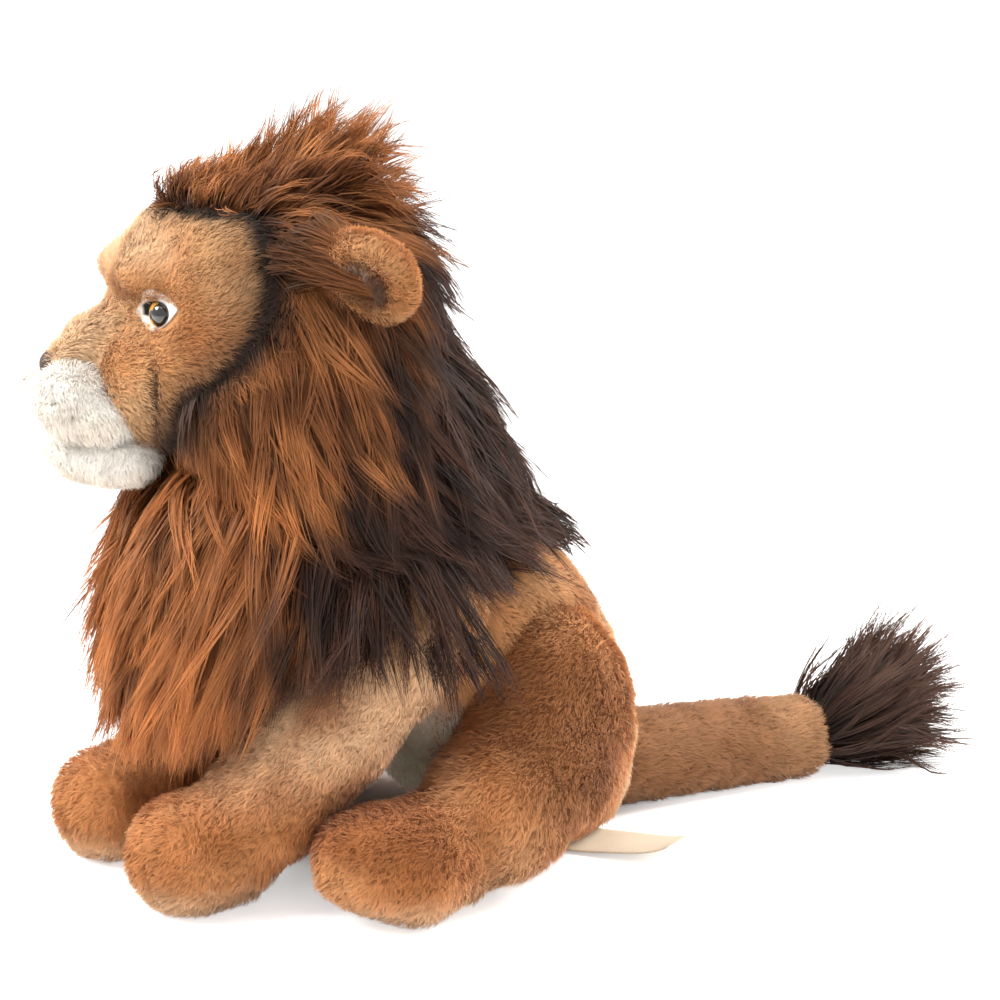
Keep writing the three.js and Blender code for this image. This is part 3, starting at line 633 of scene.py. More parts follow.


# ---- stage, lights, camera
# The floor's glow is lowest around SHADE_MIDDLE and rises with distance from it, as (distance in metres, strength): a
# painted shadow under the belly.
SHADE_MIDDLE = (-0.055, -0.04, 0)
FLOOR_GLOW = ((0.05, 0.0), (0.085, 0.12), (0.12, 0.52), (0.16, 0.66), (0.9, 0.75))
# name, azimuth, elevation, distance in metres, size, power and tone
LAMPS = (("key", -12, 42, 1.6, 0.9, 37, (1, 0.985, 0.96)), ("rim", 168, 36, 1.5, 0.8, 30, (1, 0.99, 0.97)),
         ("top", 60, 78, 1.6, 1.2, 10, (1, 1, 1)), ("catch", 128, 22, 1.3, 0.3, 3, (1, 1, 1)))


def seen_directly(nt):
    """One for what the camera sees, also in a mirror or through something clear."""
    path = node(nt, "LightPath")
    seen = path.outputs["Is Camera Ray"]
    for word in ("Is Glossy Ray", "Is Transmission Ray"):
        more = node(nt, "Math", operation="MAXIMUM")
        wire(nt, (seen, more.inputs[0]), (path.outputs[word], more.inputs[1]))
        seen = more.outputs[0]
    return seen


def stand(ob, azimuth, elevation, target, distance):
    """Put a lamp or camera at a distance from a target, facing it."""
    a, e = math.radians(azimuth), math.radians(elevation)
    way = Vector((math.sin(a) * math.cos(e), -math.cos(a) * math.cos(e), math.sin(e)))
    ob.location = Vector(target) + way * distance
    ob.rotation_euler = way.to_track_quat("Z", "Y").to_euler()
    bpy.context.scene.collection.objects.link(ob)


def floor_and_world():
    """A floor that shows white but keeps the shadow, in a white room. It is darkest under the belly, where its glow is
    lowered as a painted shadow.
    """
    m, nt = new_material("white floor")
    away = node(nt, "VectorMath", operation="DISTANCE")
    away.inputs[1].default_value = SHADE_MIDDLE
    glow = node(nt, "Math", operation="MULTIPLY")
    cloth = node(nt, "BsdfDiffuse", Color=(0.9, 0.89, 0.885, 1))
    light = node(nt, "Emission", Color=(1, 1, 1, 1))
    both = node(nt, "AddShader")
    wire(nt, (node(nt, "TexCoord").outputs["Object"], away.inputs[0]), (seen_directly(nt), glow.inputs[0]),
         (ramp(nt, away.outputs["Value"], *FLOOR_GLOW), glow.inputs[1]), (glow, light.inputs["Strength"]),
         (cloth, both.inputs[0]), (light, both.inputs[1]))
    corners = 4000.0 * np.array([(-1, -1, 0), (1, -1, 0), (1, 1, 0), (-1, 1, 0)])
    floor = piece("floor", corners, [[0, 1, 2, 3]], body=None, material=finished(m, both))

    w = bpy.data.worlds.new("studio")
    bpy.context.scene.world = w
    w.use_nodes = True
    nt = w.node_tree
    nt.nodes.clear()
    room = node(nt, "Background", Color=(1, 0.985, 0.97, 1), Strength=0.56)
    white = node(nt, "Background", Color=(1, 1, 1, 1), Strength=1.0)
    mix = node(nt, "MixShader")
    wire(nt, (seen_directly(nt), mix.inputs[0]), (room, mix.inputs[1]), (white, mix.inputs[2]),
         (mix, node(nt, "OutputWorld").inputs[0]))


def lamps_and_camera():
    for name, azimuth, elevation, distance, size, power, tone in LAMPS:
        data = bpy.data.lights.new(name, "AREA")
        data.shape = "DISK"
        data.size = size
        data.energy = power
        data.color = tone
        stand(bpy.data.objects.new(name, data), azimuth, elevation, (0, -0.03, 0.13), distance)
    data = bpy.data.cameras.new("camera")
    data.sensor_width = 36
    data.lens = 117
    camera = bpy.data.objects.new("camera", data)
    stand(camera, 64, 14, (0, -0.017, 0.136), 1.3)
    bpy.context.scene.camera = camera
    bpy.context.scene.view_settings.view_transform = "Standard"


# ---- plush on the body
def steady(*way):
    """A comb with one direction everywhere."""
    return lambda P: np.tile(way, (len(P), 1))


def plush(names, body, field, box, step, comb, number, length, lean, width, paint, seed, replaces, padded,
          slot="golden_plush", cloth=BACKING, strands=PLUSH, **more):
    """Backing cloth and pile of one soft part. names takes the word cloth or pile."""
    V, Q = sewn(names % "cloth", field, box, step, body, cloth, replaces, paint)
    pile(names % "pile", field, V, Q, comb, number, length, lean, width, paint, body, slot, strands, seed, **more)


def mottled(P, base, other, size, seed, amount=0.5):
    return blend_colours(base, (other, amount * ease(wave(P, size, seed), -0.6, 1.2)))


def crease(z):
    """Where the thigh meets the flank, at a height."""
    return np.interp(z, [51, 62, 68, 77, 83, 94, 109, 120], [-76, -74, -70, -51, -33, -22, -15, -8])


def rump(P):
    """The paler share of the plush at the back of the seat."""
    return 0.65 * ease(P[:, 1], 0, 30) * ease(-P[:, 2], -118, -84)


def paint_torso(P, n):
    """Golden, shaded where the thigh lies on it, pale on the belly and the seat."""
    x, y, z = place(P)
    # Painted shade on the flank where the thigh lies against it.
    thigh = ease(y - crease(z), -2, 6) * ease(-y, -12, 6) * ease(-z, -122, -98)
    belly = ease(-z, -84, -60) * ease(-x, -58, -48) * ease(-y, 20, 50)
    return blend_colours(mottled(P, GOLD, PALE_GOLD, 40, 3), (colour(206, 160, 112), 0.5 * ease(z, 70, 90)),
                         (SHADED, 0.75 * thigh * ease(x, 30, 42)), (DEEP_GOLD, 0.25 * ease(wave(P, 30, 4), 0, 1.5)),
                         (colour(255, 244, 226), belly), (SEAT, rump(P)))


def paint_leg(P, n):
    """Golden paws, paler under the toes and, on the forelegs, up the arm, with painted shade over the thigh and a
    painted highlight low on its front.
    """
    x, y, z = place(P)
    arm = ease(z, 34, 74) * ease(-y, 62, 84)
    # Painted shade over the middle of the thigh.
    thigh = ease(-np.hypot((y + 30) / 42, (z - 66) / 50), -1, -0.4)
    foot = ease(-y, 76, 92) * ease(x, 58, 66)
    sole = ease(-z, -21, -4) * ease(-n[:, 2], -0.35, 0.2)
    # A painted highlight where the lower front of the thigh bulges out.
    knee_highlight = np.exp(-np.hypot((y + 56) / 13, (z - 22) / 16) ** 2) * ease(x, 66, 78)
    toes = ease(-y, 112, 125) * ease(x, 56, 64) * ease(-z, -36, -18)
    return blend_colours(mottled(P, GOLD, DEEP_GOLD, 26, 5, 0.55), (colour(242, 206, 166), 0.95 * arm),
                         (colour(168, 102, 54), 0.8 * foot * ease(n[:, 2], -0.1, 0.5)), (SHADED, 0.75 * thigh),
                         (colour(232, 188, 142), 0.6 * knee_highlight), (colour(214, 166, 116), 0.6 * ease(z, 92, 114)),
                         (colour(244, 216, 180), 0.7 * sole), (colour(232, 180, 126), 0.6 * toes), (SEAT, rump(P)))


# Darker, duller gold than the body: partly the tail's own beige and partly painted shade cast by the body in front of
# it. Paler at the end.
def paint_tail(P, n):
    return blend_colours(mottled(P, colour(178, 130, 90), colour(160, 110, 70), 22, 6),
                         (PALE_GOLD, 0.3 * ease(P[:, 1], 100, 112)))


def body_plush():
    def bare(P):
        M = mirrored(P)
        return (P[:, 2] > 2) & (P[:, 2] < cape_edge(P) + 16) & (hindleg(M) > -1) & (foreleg(M) > -1)

    def free(P):
        return (torso(P) > -1.5) & (P[:, 2] > 1)

    plush("torso_%s", "torso", torso, box_of("torso"), 2.6, steady(0.0, 0.55, -0.8), 130000, 5.2, 0.95, 0.42,
          paint_torso, 21, ("torso_skin", "belly_panel"), 0.85, keep=bare)
    for side, word in SIDES:
        for name, number, length, width, seed in (("foreleg", 46000, 4.6, 0.4, 31), ("hindleg", 56000, 4.8, 0.42, 41)):
            plush(f"{name}_%s_{word}", f"{name}_{word}", leg(name, side), box_of(name, side), 2.4,
                  steady(0.0, -0.75, -0.65), number, length, 0.9, width, paint_leg, seed + side,
                  (f"{name}_skin_{word}",), 0.75, keep=free)
    plush("tail_%s", "tail", tail, box_of("tail"), 2.2, steady(0.0, 1.0, -0.1), 26000, 4.6, 1.0, 0.4, paint_tail, 51,
          ("tail_skin",), 0.7, keep=lambda P: torso(P) > -2)


# ---- what is inside
def filling(body, word, form, box, bag=None):
    """Wadding just under a skin, and a pellet bag of the CAD's size and place within it."""
    inner = lambda P: form(P) + 5
    if bag:
        lo, hi = (np.array(v) * 1000 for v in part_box(bag))
        sack = lambda P: np.maximum(egg(P, (lo + hi) / 2, (hi - lo) / 2), form(P) + 8)
        sewn(bag + "_sewn", sack, (lo - 4, hi + 4), 3.5, body, BAG, (bag,))
        inner = lambda P: np.maximum(form(P) + 5, 1.0 - sack(P))
    sewn(word + "_stuffed", inner, box, 4.5, body, WADDING, (word,))


def fillings():
    filling("torso", "torso_wadding", torso, box_of("torso"), "seat_pellet_bag")
    filling("head", "head_wadding", head_skin, box_of("head"))
    filling("tail", "tail_wadding", tail, box_of("tail"))
    for side, word in SIDES:
        thigh = lambda P: np.maximum(hindleg(sided(P, side)), 4 - torso(P))
        for name, form in (("foreleg", leg("foreleg", side)), ("hindleg", thigh)):
            filling(f"{name}_{word}", f"{name}_wadding_{word}", form, box_of(name, side), f"{name}_pellet_bag_{word}")


# ---- the face
EYE = np.array([24.5, 60.6, 225.7])


def ahead(H):
    """How far before the mane's edge a place on the head is: below zero it is under the mane."""
    back = np.interp(H[:, 2], [160, 180, 191, 197, 202, 206, 213, 220, 228, 236, 248, 256, 262],
                     [59, 58, 56, 53, 48, 41, 34, 28, 24, 22.5, 24, 25.5, 27])
    return np.minimum(H[:, 1] - back, 4 * (261 - H[:, 2]))


def eye_gap(P):
    return np.linalg.norm((mirrored(to_head(P)) - EYE) * [0.5, 0.82, 1.15], axis=1) - 7


def paint_face(P, n):
    """Golden tan, pale on the brow and bridge, russet on the cheek, and towards the mane's edge greyer then near black:
    dark pile there, deepened with painted shade.
    """
    H = to_head(P)
    l, f, z = place(H)
    bright = ease(f, 60, 88) * ease(-l, -26, -6) + ease(z, 236, 250) * ease(f, 46, 66)
    cheek = ease(-f, -66, -48) * ease(-z, -240, -215)
    strip = np.exp(-((f - 59.5) / 3.4) ** 2) * ease(-z, -216, -206)
    seam = np.exp(-((f - 63.8) / 1.3) ** 2) * ease(-z, -214, -204) * ease(l, 14, 22)
    # Greyer and then near black towards the mane's edge: painted shade over the dark short pile there.
    edge = -ahead(H)
    curly = ease(f, 65, 68) * ease(-f, -86, -78) * ease(-z, -208, -196)
    return blend_colours(mottled(P, colour(216, 162, 108), colour(236, 196, 148), 30, 8),
                         (colour(234, 202, 164), bright), (colour(186, 120, 68), 0.8 * cheek),
                         (colour(238, 196, 148), 0.75 * curly), (colour(222, 164, 106), 0.8 * strip),
                         (colour(120, 76, 44), 0.8 * seam), (colour(146, 112, 84), 0.6 * ease(edge, -22, -4)),
                         (BLACKISH, 0.95 * ease(edge, -7.5, -1)))


def paint_muzzle(P, n):
    """White, with two faint whisker spots on each side."""
    M = mirrored(to_head(P))
    spot = sum(np.exp(-((M - at) ** 2).sum(1) / 0.7) for at in ((26, 93, 190), (23.4, 90.5, 181.8)))
    return blend_colours(mottled(P, WHITE, CREAM, 18, 9, 0.2), (colour(96, 84, 70), spot))


def comb_face(P):
    l, _, z = to_head(P).T
    return head_way(np.stack([0.5 * np.sign(l), -np.ones_like(l), ease(z, 200, 240) * 1.2 - 0.5], 1))


def comb_muzzle(P):
    l = to_head(P)[:, 0]
    return head_way(np.stack([0.4 * np.sign(l), np.full_like(l, -0.4), -np.ones_like(l)], 1))


def face():
    def shown(P):
        return (ahead(to_head(P)) > -4) & (muzzle(P) > -0.5) & (chin(P) > -0.5) & (eye_gap(P) > 0)

    V, Q = sewn("head_cloth", head_skin, box_of("head"), 2.2, "head", BACKING, ("head_skin",),
                paint_face)
    pile("face_pile", head_skin, V, Q, comb_face, 110000, 4.4, 1.0, 0.34, paint_face, "head", "face_plush", PLUSH, 61,
         keep=shown, ruffle=0.26, clump=3.4, gather=0.6)
    for name, form, other, number, seed in (("muzzle", muzzle, chin, 22000, 71), ("chin", chin, muzzle, 14000, 72)):
        plush(name + "_%s", "head", form, ((-62, -212, 150), (30, -140, 215)), 1.8, comb_muzzle, number, 4.6, 0.8, 0.34,
              paint_muzzle, seed, (name,), 0.9, "white_plush", WHITE_BACKING, WHITE_PLUSH,
              keep=lambda P: (head_skin(P) > -0.5) & (other(P) > -0.5), clump=3.0, gather=0.6)


# ---- the mane
STEPS, INERTIA = 7, 0.55
MOST_FACES = 190000
CROWN_ROWS = soft_rows([(150, 82, -58, 68), (159, 81, -58, 70), (174, 75, -60, 69), (189, 68, -54, 66),
                        (210, 58, -40, 62), (230, 52, -25.8, 58), (245, 48, -26, 55), (256, 40, -40, 47),
                        (265, 28, -44, 36), (272, 15, -36, 24), (276, 3, -20, 14)], 4)


def crown_core(P):
    H = to_head(P)
    d = loft(H * [1, -1, 1], CROWN_ROWS, 2.2, 11)
    d = join(d, face_form(H) + 1.0 - 3.0 * ease(-ahead(H), 2, 18), 8)
    return carve(d, -ahead(H) - 1, 3)


def cape_edge(P):
    """Height of the mane's sewn edge on the body: high on the back and flank, low on the chest."""
    x, y, _ = place(P)
    side = ease(x, 18, 40)
    middle = np.interp(y, [-150, -128, -100, -60, -10, 40], [58, 64, 104, 112, 120, 124])
    flank = np.interp(y, [-150, -128, -100, -72, -60, -44], [58, 92, 104, 106, 122, 158])
    return middle * (1 - side) + flank * side


def cape_core(P):
    d = shaped(P, torso(P) - 5, ((0, -132, 116), (41, 37, 60), 14), ((0, -92, 146), (56, 58, 26), 14))
    return carve(d, P[:, 2] - cape_edge(P), 8)


def drape_core(P):
    """The mane's cloth with the shoulders that its locks hang over."""
    M = mirrored(P)
    shoulder = foreleg(M) + 0.6 * np.maximum(72 - P[:, 2], 0)
    return join(join(cape_core(P), shoulder, 8), np.minimum(torso(P), hindleg(M)) - 0.5, 4)


def dark_share(P):
    """Rust in front, dark behind and below."""
    x, y, z = place(P)
    edge = np.interp(z, [60, 120, 143, 166, 200, 253, 280], [-150, -147, -128, -102, -92, -78, -44])
    edge = edge + (1 - ease(x, 8, 34)) * np.interp(z, [50, 120, 180], [26, 20, 0])
    return ease(y - edge - 11 * wave(P, 20, 5), -16, 18) * ease(-z, -285, -250)


def paint_mane(P, n=None):
    chest = ease(-P[:, 1], 104, 134) * ease(-P[:, 2], -190, -165)
    # Hair close to the mane's edge on the head goes near black: painted shade where the mane meets the face.
    edge = ease(ahead(to_head(P)), -15, -4) * ease(P[:, 2], 168, 182)
    return blend_colours(mottled(P, RUST, ORANGE, 26, 12, 0.7), (colour(200, 128, 72), 0.4 * chest),
                         (mottled(P, DARK, colour(96, 60, 44), 15, 16), dark_share(P)), (BLACKISH, 0.85 * edge))


def grow(core, roots, lift, flow, length, layer, rng):
    """Guide lines for locks: they leave the core, turn with the flow and lie on it in layers."""
    n = unit(slope(core, roots))
    d = unit(n * lift[:, None] + unit(flow(roots, n)))
    P = roots
    out = [P]
    step = (length / STEPS)[:, None]
    sway = rng.normal(0, 0.22, (len(P), 3))
    for i in range(STEPS):
        P = P + d * step
        n = unit(slope(core, P, 1.0))
        gap = core(P) - layer * min(1.0, (i + 1) / (0.4 * STEPS))
        P = P + n * np.maximum(-gap, 0)[:, None]
        P[:, 2] = np.where(P[:, 2] > 303, 303 + 0.6 * (P[:, 2] - 303), P[:, 2])
        want = unit(unit(flow(P, n)) + sway + n * np.clip(-gap * 0.03, -0.4, 0.2)[:, None])
        d = unit(d * INERTIA + want * (1 - INERTIA))
        out.append(P)
    return np.stack(out, 1)


def reached(guides, rng):
    """The share of each lock that is left above the mane's lowest line: over the arms, and higher on the flank."""
    fine = 4 * STEPS
    at = np.linspace(0, STEPS, fine + 1)
    i = np.minimum(at.astype(int), STEPS - 1)
    w = (at - i)[None, :, None]
    P = guides[:, i] * (1 - w) + guides[:, i + 1] * w
    y, z = P[..., 1], P[..., 2] - rng.normal(0, 4, (len(P), 1))
    outer = ease(np.abs(P[..., 0]), 22, 42)
    low = (np.interp(y, [-170, -155, -130, -110], [50, 46, 60, 84]) * (1 - outer)
           + np.interp(y, [-160, -146, -131, -91, -73, -36], [60, 82, 88, 85, 82, 76]) * outer)
    past = ((z < low) | ((z < 119) & (y > -67 + 0.7 * (120 - z)))) & (y < 60)
    return np.where(past.any(1), past.argmax(1) / fine, 1.0)


def locks(name, core, roots, lift, flow, length, layer, per, reach, width, paint, body, seed, blend=None):
    """Long hair: locks of per strands around guide lines, in pieces of not too many faces."""
    rng = np.random.default_rng(seed)
    guides = grow(core, roots, lift, flow, length, layer, rng)
    keep = reached(guides, rng)
    guides, keep = guides[keep > 0.3], keep[keep > 0.3]
    who = np.repeat(np.arange(len(guides)), per)
    m, k = len(who), STEPS + 1
    G, N = guides[who], unit(slope(core, guides[:, 0]))[who]
    s = unit(np.cross(N, unit(G[:, 1] - G[:, 0]) + 1e-4))
    angle = rng.uniform(0, 2 * math.pi, m)
    far = reach * np.sqrt(rng.random(m))
    off = s * (np.cos(angle) * far)[:, None] + np.cross(s, N) * (np.sin(angle) * far)[:, None]
    cut = rng.uniform(0.62, 1.04, m) ** 0.8 * keep[who]
    at = np.linspace(0, 1, k)[None] * cut[:, None] * STEPS
    i = np.clip(at.astype(int), 0, STEPS - 1)
    w = (at - i)[..., None]
    row = np.arange(m)[:, None]
    lines = G[row, i] * (1 - w) + G[row, i + 1] * w
    t = np.linspace(0, 1, k)[None, :, None]
    tight = 1 - 0.86 * (t * cut[:, None, None]) ** 1.3
    curl = rng.normal(0, 1, (m, 3))[:, None] * np.sin(t * rng.uniform(2, 5, m)[:, None, None]) * 1.3
    lines = lines + off[:, None] * tight + curl * t
    vary = rng.normal(0, 1, m) * 0.5 + rng.normal(0, 1, len(guides))[who] * 0.8
    tint = paint(lines.reshape(-1, 3)).reshape(m, k, 3) * (1 + 0.24 * vary)[:, None, None]
    parts = max(1, math.ceil(m * (2 * STEPS - 1) / MOST_FACES))
    for j, part in enumerate(np.array_split(rng.permutation(m), parts)):
        ob = strand_piece(name if parts == 1 else f"{name}_{j + 1}", lines[part], N[part],
                          width * rng.uniform(0.7, 1.2, len(part)), np.clip(tint[part], 0, 1), vary[part],
                          None if blend else body, HAIR, rng, twist=0.9, soft=0.5)
        if blend:
            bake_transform(ob)


def flow_crown(P, n):
    """Up and back on the crest, back over the ears, then down the sides and the back."""
    l, f, z = to_head(P).T
    out, one = np.sign(l), np.ones_like(l)
    top = ease(z, 253, 262) * ease(-np.abs(l), -40, -22)
    over = ease(z, 238, 252) * (1 - top)
    rear = ease(-f, 5, 45)
    fan = np.interp(f, [-45, -25, -8, 12, 34, 50], [-2.6, -1.4, -0.8, -0.6, -0.95, -0.7])
    turn = np.interp(f, [-60, -15, 12, 30, 45], [-0.62, -0.42, -0.34, -0.2, 0.1])
    ways = (((0.012 * l, fan, one), top), ((0.12 * out, -one, -0.35 - 0.5 * rear), over),
            ((0.3 * out * (1 - rear), turn, -one), 1 - top - over))
    d = head_way(sum(unit(np.stack(way, 1)) * share[:, None] for way, share in ways))
    return d - n * (d * n).sum(1)[:, None] * (0.8 * (1 - top) * (1 - 0.3 * rear))[:, None]


def flow_cape(P, n):
    """Down, parting forwards over the chest and backwards over the flank."""
    part = np.interp(P[:, 1], [-140, -92, -72, -48, -20, 10], [-0.38, 0, 0.4, 0.85, 0.6, 0.42])
    wide = 0.14 * np.sign(P[:, 0]) * ease(np.abs(P[:, 0]), 6, 40)
    return np.stack([wide, part, -np.ones_like(part)], 1)


def mane_on_head(rng):
    # The cloth under the locks is near black: painted shade that shows in the gaps between them.
    V, Q = sewn("mane_cloth_head", crown_core, ((-80, -165, 146), (84, -6, 292)), 3.0, "head", BACKING,
                ("mane_crown",), BLACKISH)
    P = scatter(V, Q, 3000, rng)
    P = P[(ahead(to_head(P)) < -1.5) & (P[:, 2] > 168)]
    H = to_head(P)
    l, f, z = place(H)
    top = ease(z, 252, 261) * ease(-l, -40, -22)
    back = ease(-f, 5, 30) * ease(z, 215, 235)
    crest = np.interp(f, [-50, -30, -20, -10, 2, 10, 20, 32, 42, 50], [20, 26, 33, 44, 54, 43, 30, 19, 13, 8])
    lift = 0.4 + 0.2 * top + 0.15 * rng.normal(size=len(P))
    short = 1 - (1 - ease(-ahead(H), 2, 24)) * (1 - top)
    length = (60 - 24 * back) * (1 - top) + (crest - 0.25 * l) * top
    length = np.clip(length * (1 + 0.12 * rng.normal(size=len(P)).clip(-2, 1.2)) * (0.5 + 0.5 * short), 7, 90)
    layer = rng.uniform(1.5, 10, len(P)) * (1 - 0.3 * back) * (0.2 + 0.8 * short)
    pile("mane_edge", crown_core, V, Q, lambda P: flow_crown(P, unit(slope(crown_core, P))), 90000,
         lambda P: 4 + 7 * ease(-ahead(to_head(P)), 1, 14), 0.8, 0.42, paint_mane, "head", "rust_hair", HAIR, 84,
         keep=lambda P: (ahead(to_head(P)) > -30) & (P[:, 2] > 172), gather=0.6)
    upper = z > 205
    neck = ("torso", "head", (0, -0.1, 0.125), (0, -0.1, 0.175))
    for name, pick, reach, seed, blend in (("head", upper, 4.6, 81, None), ("neck", ~upper, 4.8, 82, neck)):
        locks("mane_hair_" + name, crown_core, P[pick], lift[pick], flow_crown, length[pick], layer[pick], 17, reach,
              0.55, paint_mane, "head", seed, blend)


def mane_on_body(rng):
    # The cloth under the locks is near black: painted shade that shows in the gaps between them.
    V, Q = sewn("mane_cloth_body", cape_core, ((-76, -178, 40), (76, 46, 182)), 3.0, "torso", BACKING,
                ("mane_cape", "mane_bib"), BLACKISH)
    P = scatter(V, Q, 3000, rng)
    P = P[(P[:, 2] > cape_edge(P) + 3) & (P[:, 2] < 172) & ((P[:, 1] < -72) | (P[:, 2] > 126))]
    x, y, z = place(P)
    back = ease(y, -60, -10)
    side = ease(x, 22, 44) * ease(-y, 46, 60) * ease(-y, -142, -126)
    lowest = np.interp(y, [-140, -120, -100, -85, -70, -55], [60, 66, 71, 76, 86, 102])
    length = (50 - 24 * back) * (1 - side) + np.clip(1.2 * (z - lowest), 24, 90) * side
    length = np.clip(length + 8 * rng.normal(size=len(P)), 14, 92)
    lift, layer = 0.4 + 0.1 * rng.normal(size=len(P)), rng.uniform(2, 11, len(P))
    arm = ease(x, 8, 22) * ease(-y, 44, 60) > 0.5
    left, right = P[:, 0] > 0, P[:, 0] < 0
    for name, pick, seed in (("body", ~arm, 83), ("arm_left", arm & left, 93), ("arm_right", arm & right, 103)):
        over = ("torso", name.replace("arm", "foreleg"), (0, -0.085, 0.116), (0, -0.1, 0.076))
        locks("mane_hair_" + name, drape_core, P[pick], lift[pick], flow_cape, length[pick], layer[pick], 17, 4.8,
              0.55, paint_mane, "torso", seed, None if name == "body" else over)


def tuft():
    rng = np.random.default_rng(SEED + 5)
    middle, n = np.array([0, 136, 17]), 620
    core = lambda P: egg(P, middle, (13, 13, 13))
    roots = middle + unit(rng.normal(size=(n, 3)) + [0, 1.5, 0.25]) * 12.5
    roots[:, 2] = np.maximum(roots[:, 2], 3)
    # The cloth under the tuft's hair is near black: painted shade that shows in the gaps between the locks.
    sewn("tuft_cloth", core, ((-16, 118, 0), (16, 152, 34)), 2.0, "tail", BACKING, ("tail_tuft",),
         BLACKISH)
    locks("tuft_hair", lambda P: np.minimum(core(P), P[:, 2] - 1.2), roots, np.full(n, 0.6),
          lambda P, n: unit(P - np.array([0, 112, 6])) * [1.0, 1.0, 1.05] + [0, 0.12, 0.12],
          rng.uniform(36, 68, n), np.full(n, 0.3), 10, 2.6, 0.6,
          lambda P: mottled(P, colour(78, 54, 44), colour(112, 84, 70), 20, 14, 0.6), "tail", 91)


# ---- ears, eyes, nose, label
def ear_fringe(side, word):
    """Hair that starts before the ear and sweeps back into its hollow."""
    rng = np.random.default_rng(SEED + 9)
    n, k, bunches = 5200, 8, 170
    lock = rng.integers(0, bunches, n)
    u, v, w, o = ear_axes()
    rank = rng.random(bunches)
    at = np.stack([48 - 2 * rank + rng.normal(0, 1, bunches), 14 - 12 * rank + rng.normal(0, 3.5, bunches),
                   246 + 10 * rank + rng.normal(0, 3, bunches)], 1)
    goal = (o + v * 9.5 + u * (19 - 17 * rank + rng.normal(0, 2.5, bunches))[:, None]
            + v * rng.uniform(0, 13, bunches)[:, None] + w * rng.uniform(-1, 3, bunches)[:, None])
    goal = at + (goal - at) * rng.uniform(0.7, 1.0, bunches)[:, None]
    start = at[lock] + rng.normal(0, 1.6, (n, 3))
    end = at[lock] + (goal - at)[lock] * rng.uniform(0.6, 1.05, (n, 1)) + rng.normal(0, 0.6, (n, 3))
    middle = (start + end) / 2 + np.array([8, 1, 4]) + rng.normal(0, 0.6, (n, 3))
    middle = middle + rng.normal(0, 2.2, (bunches, 3))[lock]
    t = np.linspace(0, 1, k)[None, :, None]
    H = start[:, None] * (1 - t) ** 2 + middle[:, None] * 2 * t * (1 - t) + end[:, None] * t ** 2
    lines = from_head(H * [side, 1, 1])
    vary = rng.normal(0, 1, n) * 0.5 + rng.normal(0, 1, bunches)[lock] * 0.8
    tint = mottled(lines[:, 0], RUST, ORANGE, 20, 19, 0.7) * (1 + 0.13 * vary)[:, None]
    strand_piece("ear_fringe_" + word, lines, np.tile(head_way((0.8 * side, 0.2, 0.3)), (n, 1)), 0.55,
                 np.clip(tint, 0, 1), vary, "head", HAIR, rng, twist=0.9, soft=0.5)


def ears():
    for side, word in SIDES:
        *ways, root = (d * [side, 1, 1] for d in ear_axes())
        B, o = np.stack([head_way(d) for d in ways], 1), from_head(root)

        def form(P):
            q = (P - o) @ B
            ring = np.hypot(np.hypot(q[:, 0], q[:, 1] - 9.5) - 12.6, q[:, 2]) - 5.8
            return shaped(q, ring, ((0, 9.5, -2.4), (14, 14, 3.2), 4), ((0, 2, -1), (13, 7, 5), 5))

        def inside(P):
            q = (P - o) @ B
            return ease(-np.hypot(q[:, 0], q[:, 1] - 9.5), -12, -8) * ease(q[:, 2], -1.5, 0.5)

        def paint(P, n):
            # The hollow is the lining's darker brown, deepened as painted shade.
            return blend_colours(mottled(P, colour(210, 150, 94), colour(232, 186, 136), 16, 15),
                                 (colour(104, 62, 34), 0.85 * inside(P)))

        def comb(P):
            return ((P - o) @ B)[:, :1] * B[:, 0] * 0.05 + B[:, 1]

        c = o + B[:, 1] * 8
        plush(f"ear_%s_{word}", "ear_" + word, form, (c - 30, c + 30), 1.5, comb, 16000,
              lambda P: 3.6 + 3 * inside(P), 0.8, 0.34, paint, 95 + side, ("ear_" + word, "ear_lining_" + word), 0.5,
              clump=3.2)
        ear_fringe(side, word)


def disc(rings, seam=48):
    """Rings of (radius, height) as a turned surface, closed in the first ring."""
    a = 2 * math.pi * np.arange(seam) / seam
    V = np.concatenate([np.stack([r * np.cos(a), r * np.sin(a), np.full(seam, float(h))], 1) for r, h in rings]
                       + [[(0, 0, rings[0][1])]])
    k = np.arange(seam)
    on = (k + 1) % seam
    Q = np.concatenate([np.stack([k + i, on + i, on + i + seam, k + i + seam], 1)
                        for i in range(0, seam * (len(rings) - 1), seam)])
    T = np.stack([np.full(seam, len(V) - 1), on, k], 1)
    return V, Q[:, ::-1], T[:, ::-1]


def grid(n, m):
    """Quads of n by m points."""
    i = np.arange(n - 1)[:, None] * m + np.arange(m - 1)[None]
    return np.stack([i, i + m, i + m + 1, i + 1], -1).reshape(-1, 4)


def thicken(ob, thickness):
    ob.modifiers.new("thickness", "SOLIDIFY").thickness = thickness


def gaze(side, degrees):
    """Axes across, up and out of an eye that is turned out from the face's middle."""
    a = math.radians(degrees)
    out = unit(head_way([math.sin(a) * side, math.cos(a), 0.04]))
    across = unit(np.cross([0, 0, 1.0], out))
    return np.stack([across, np.cross(out, across), out])


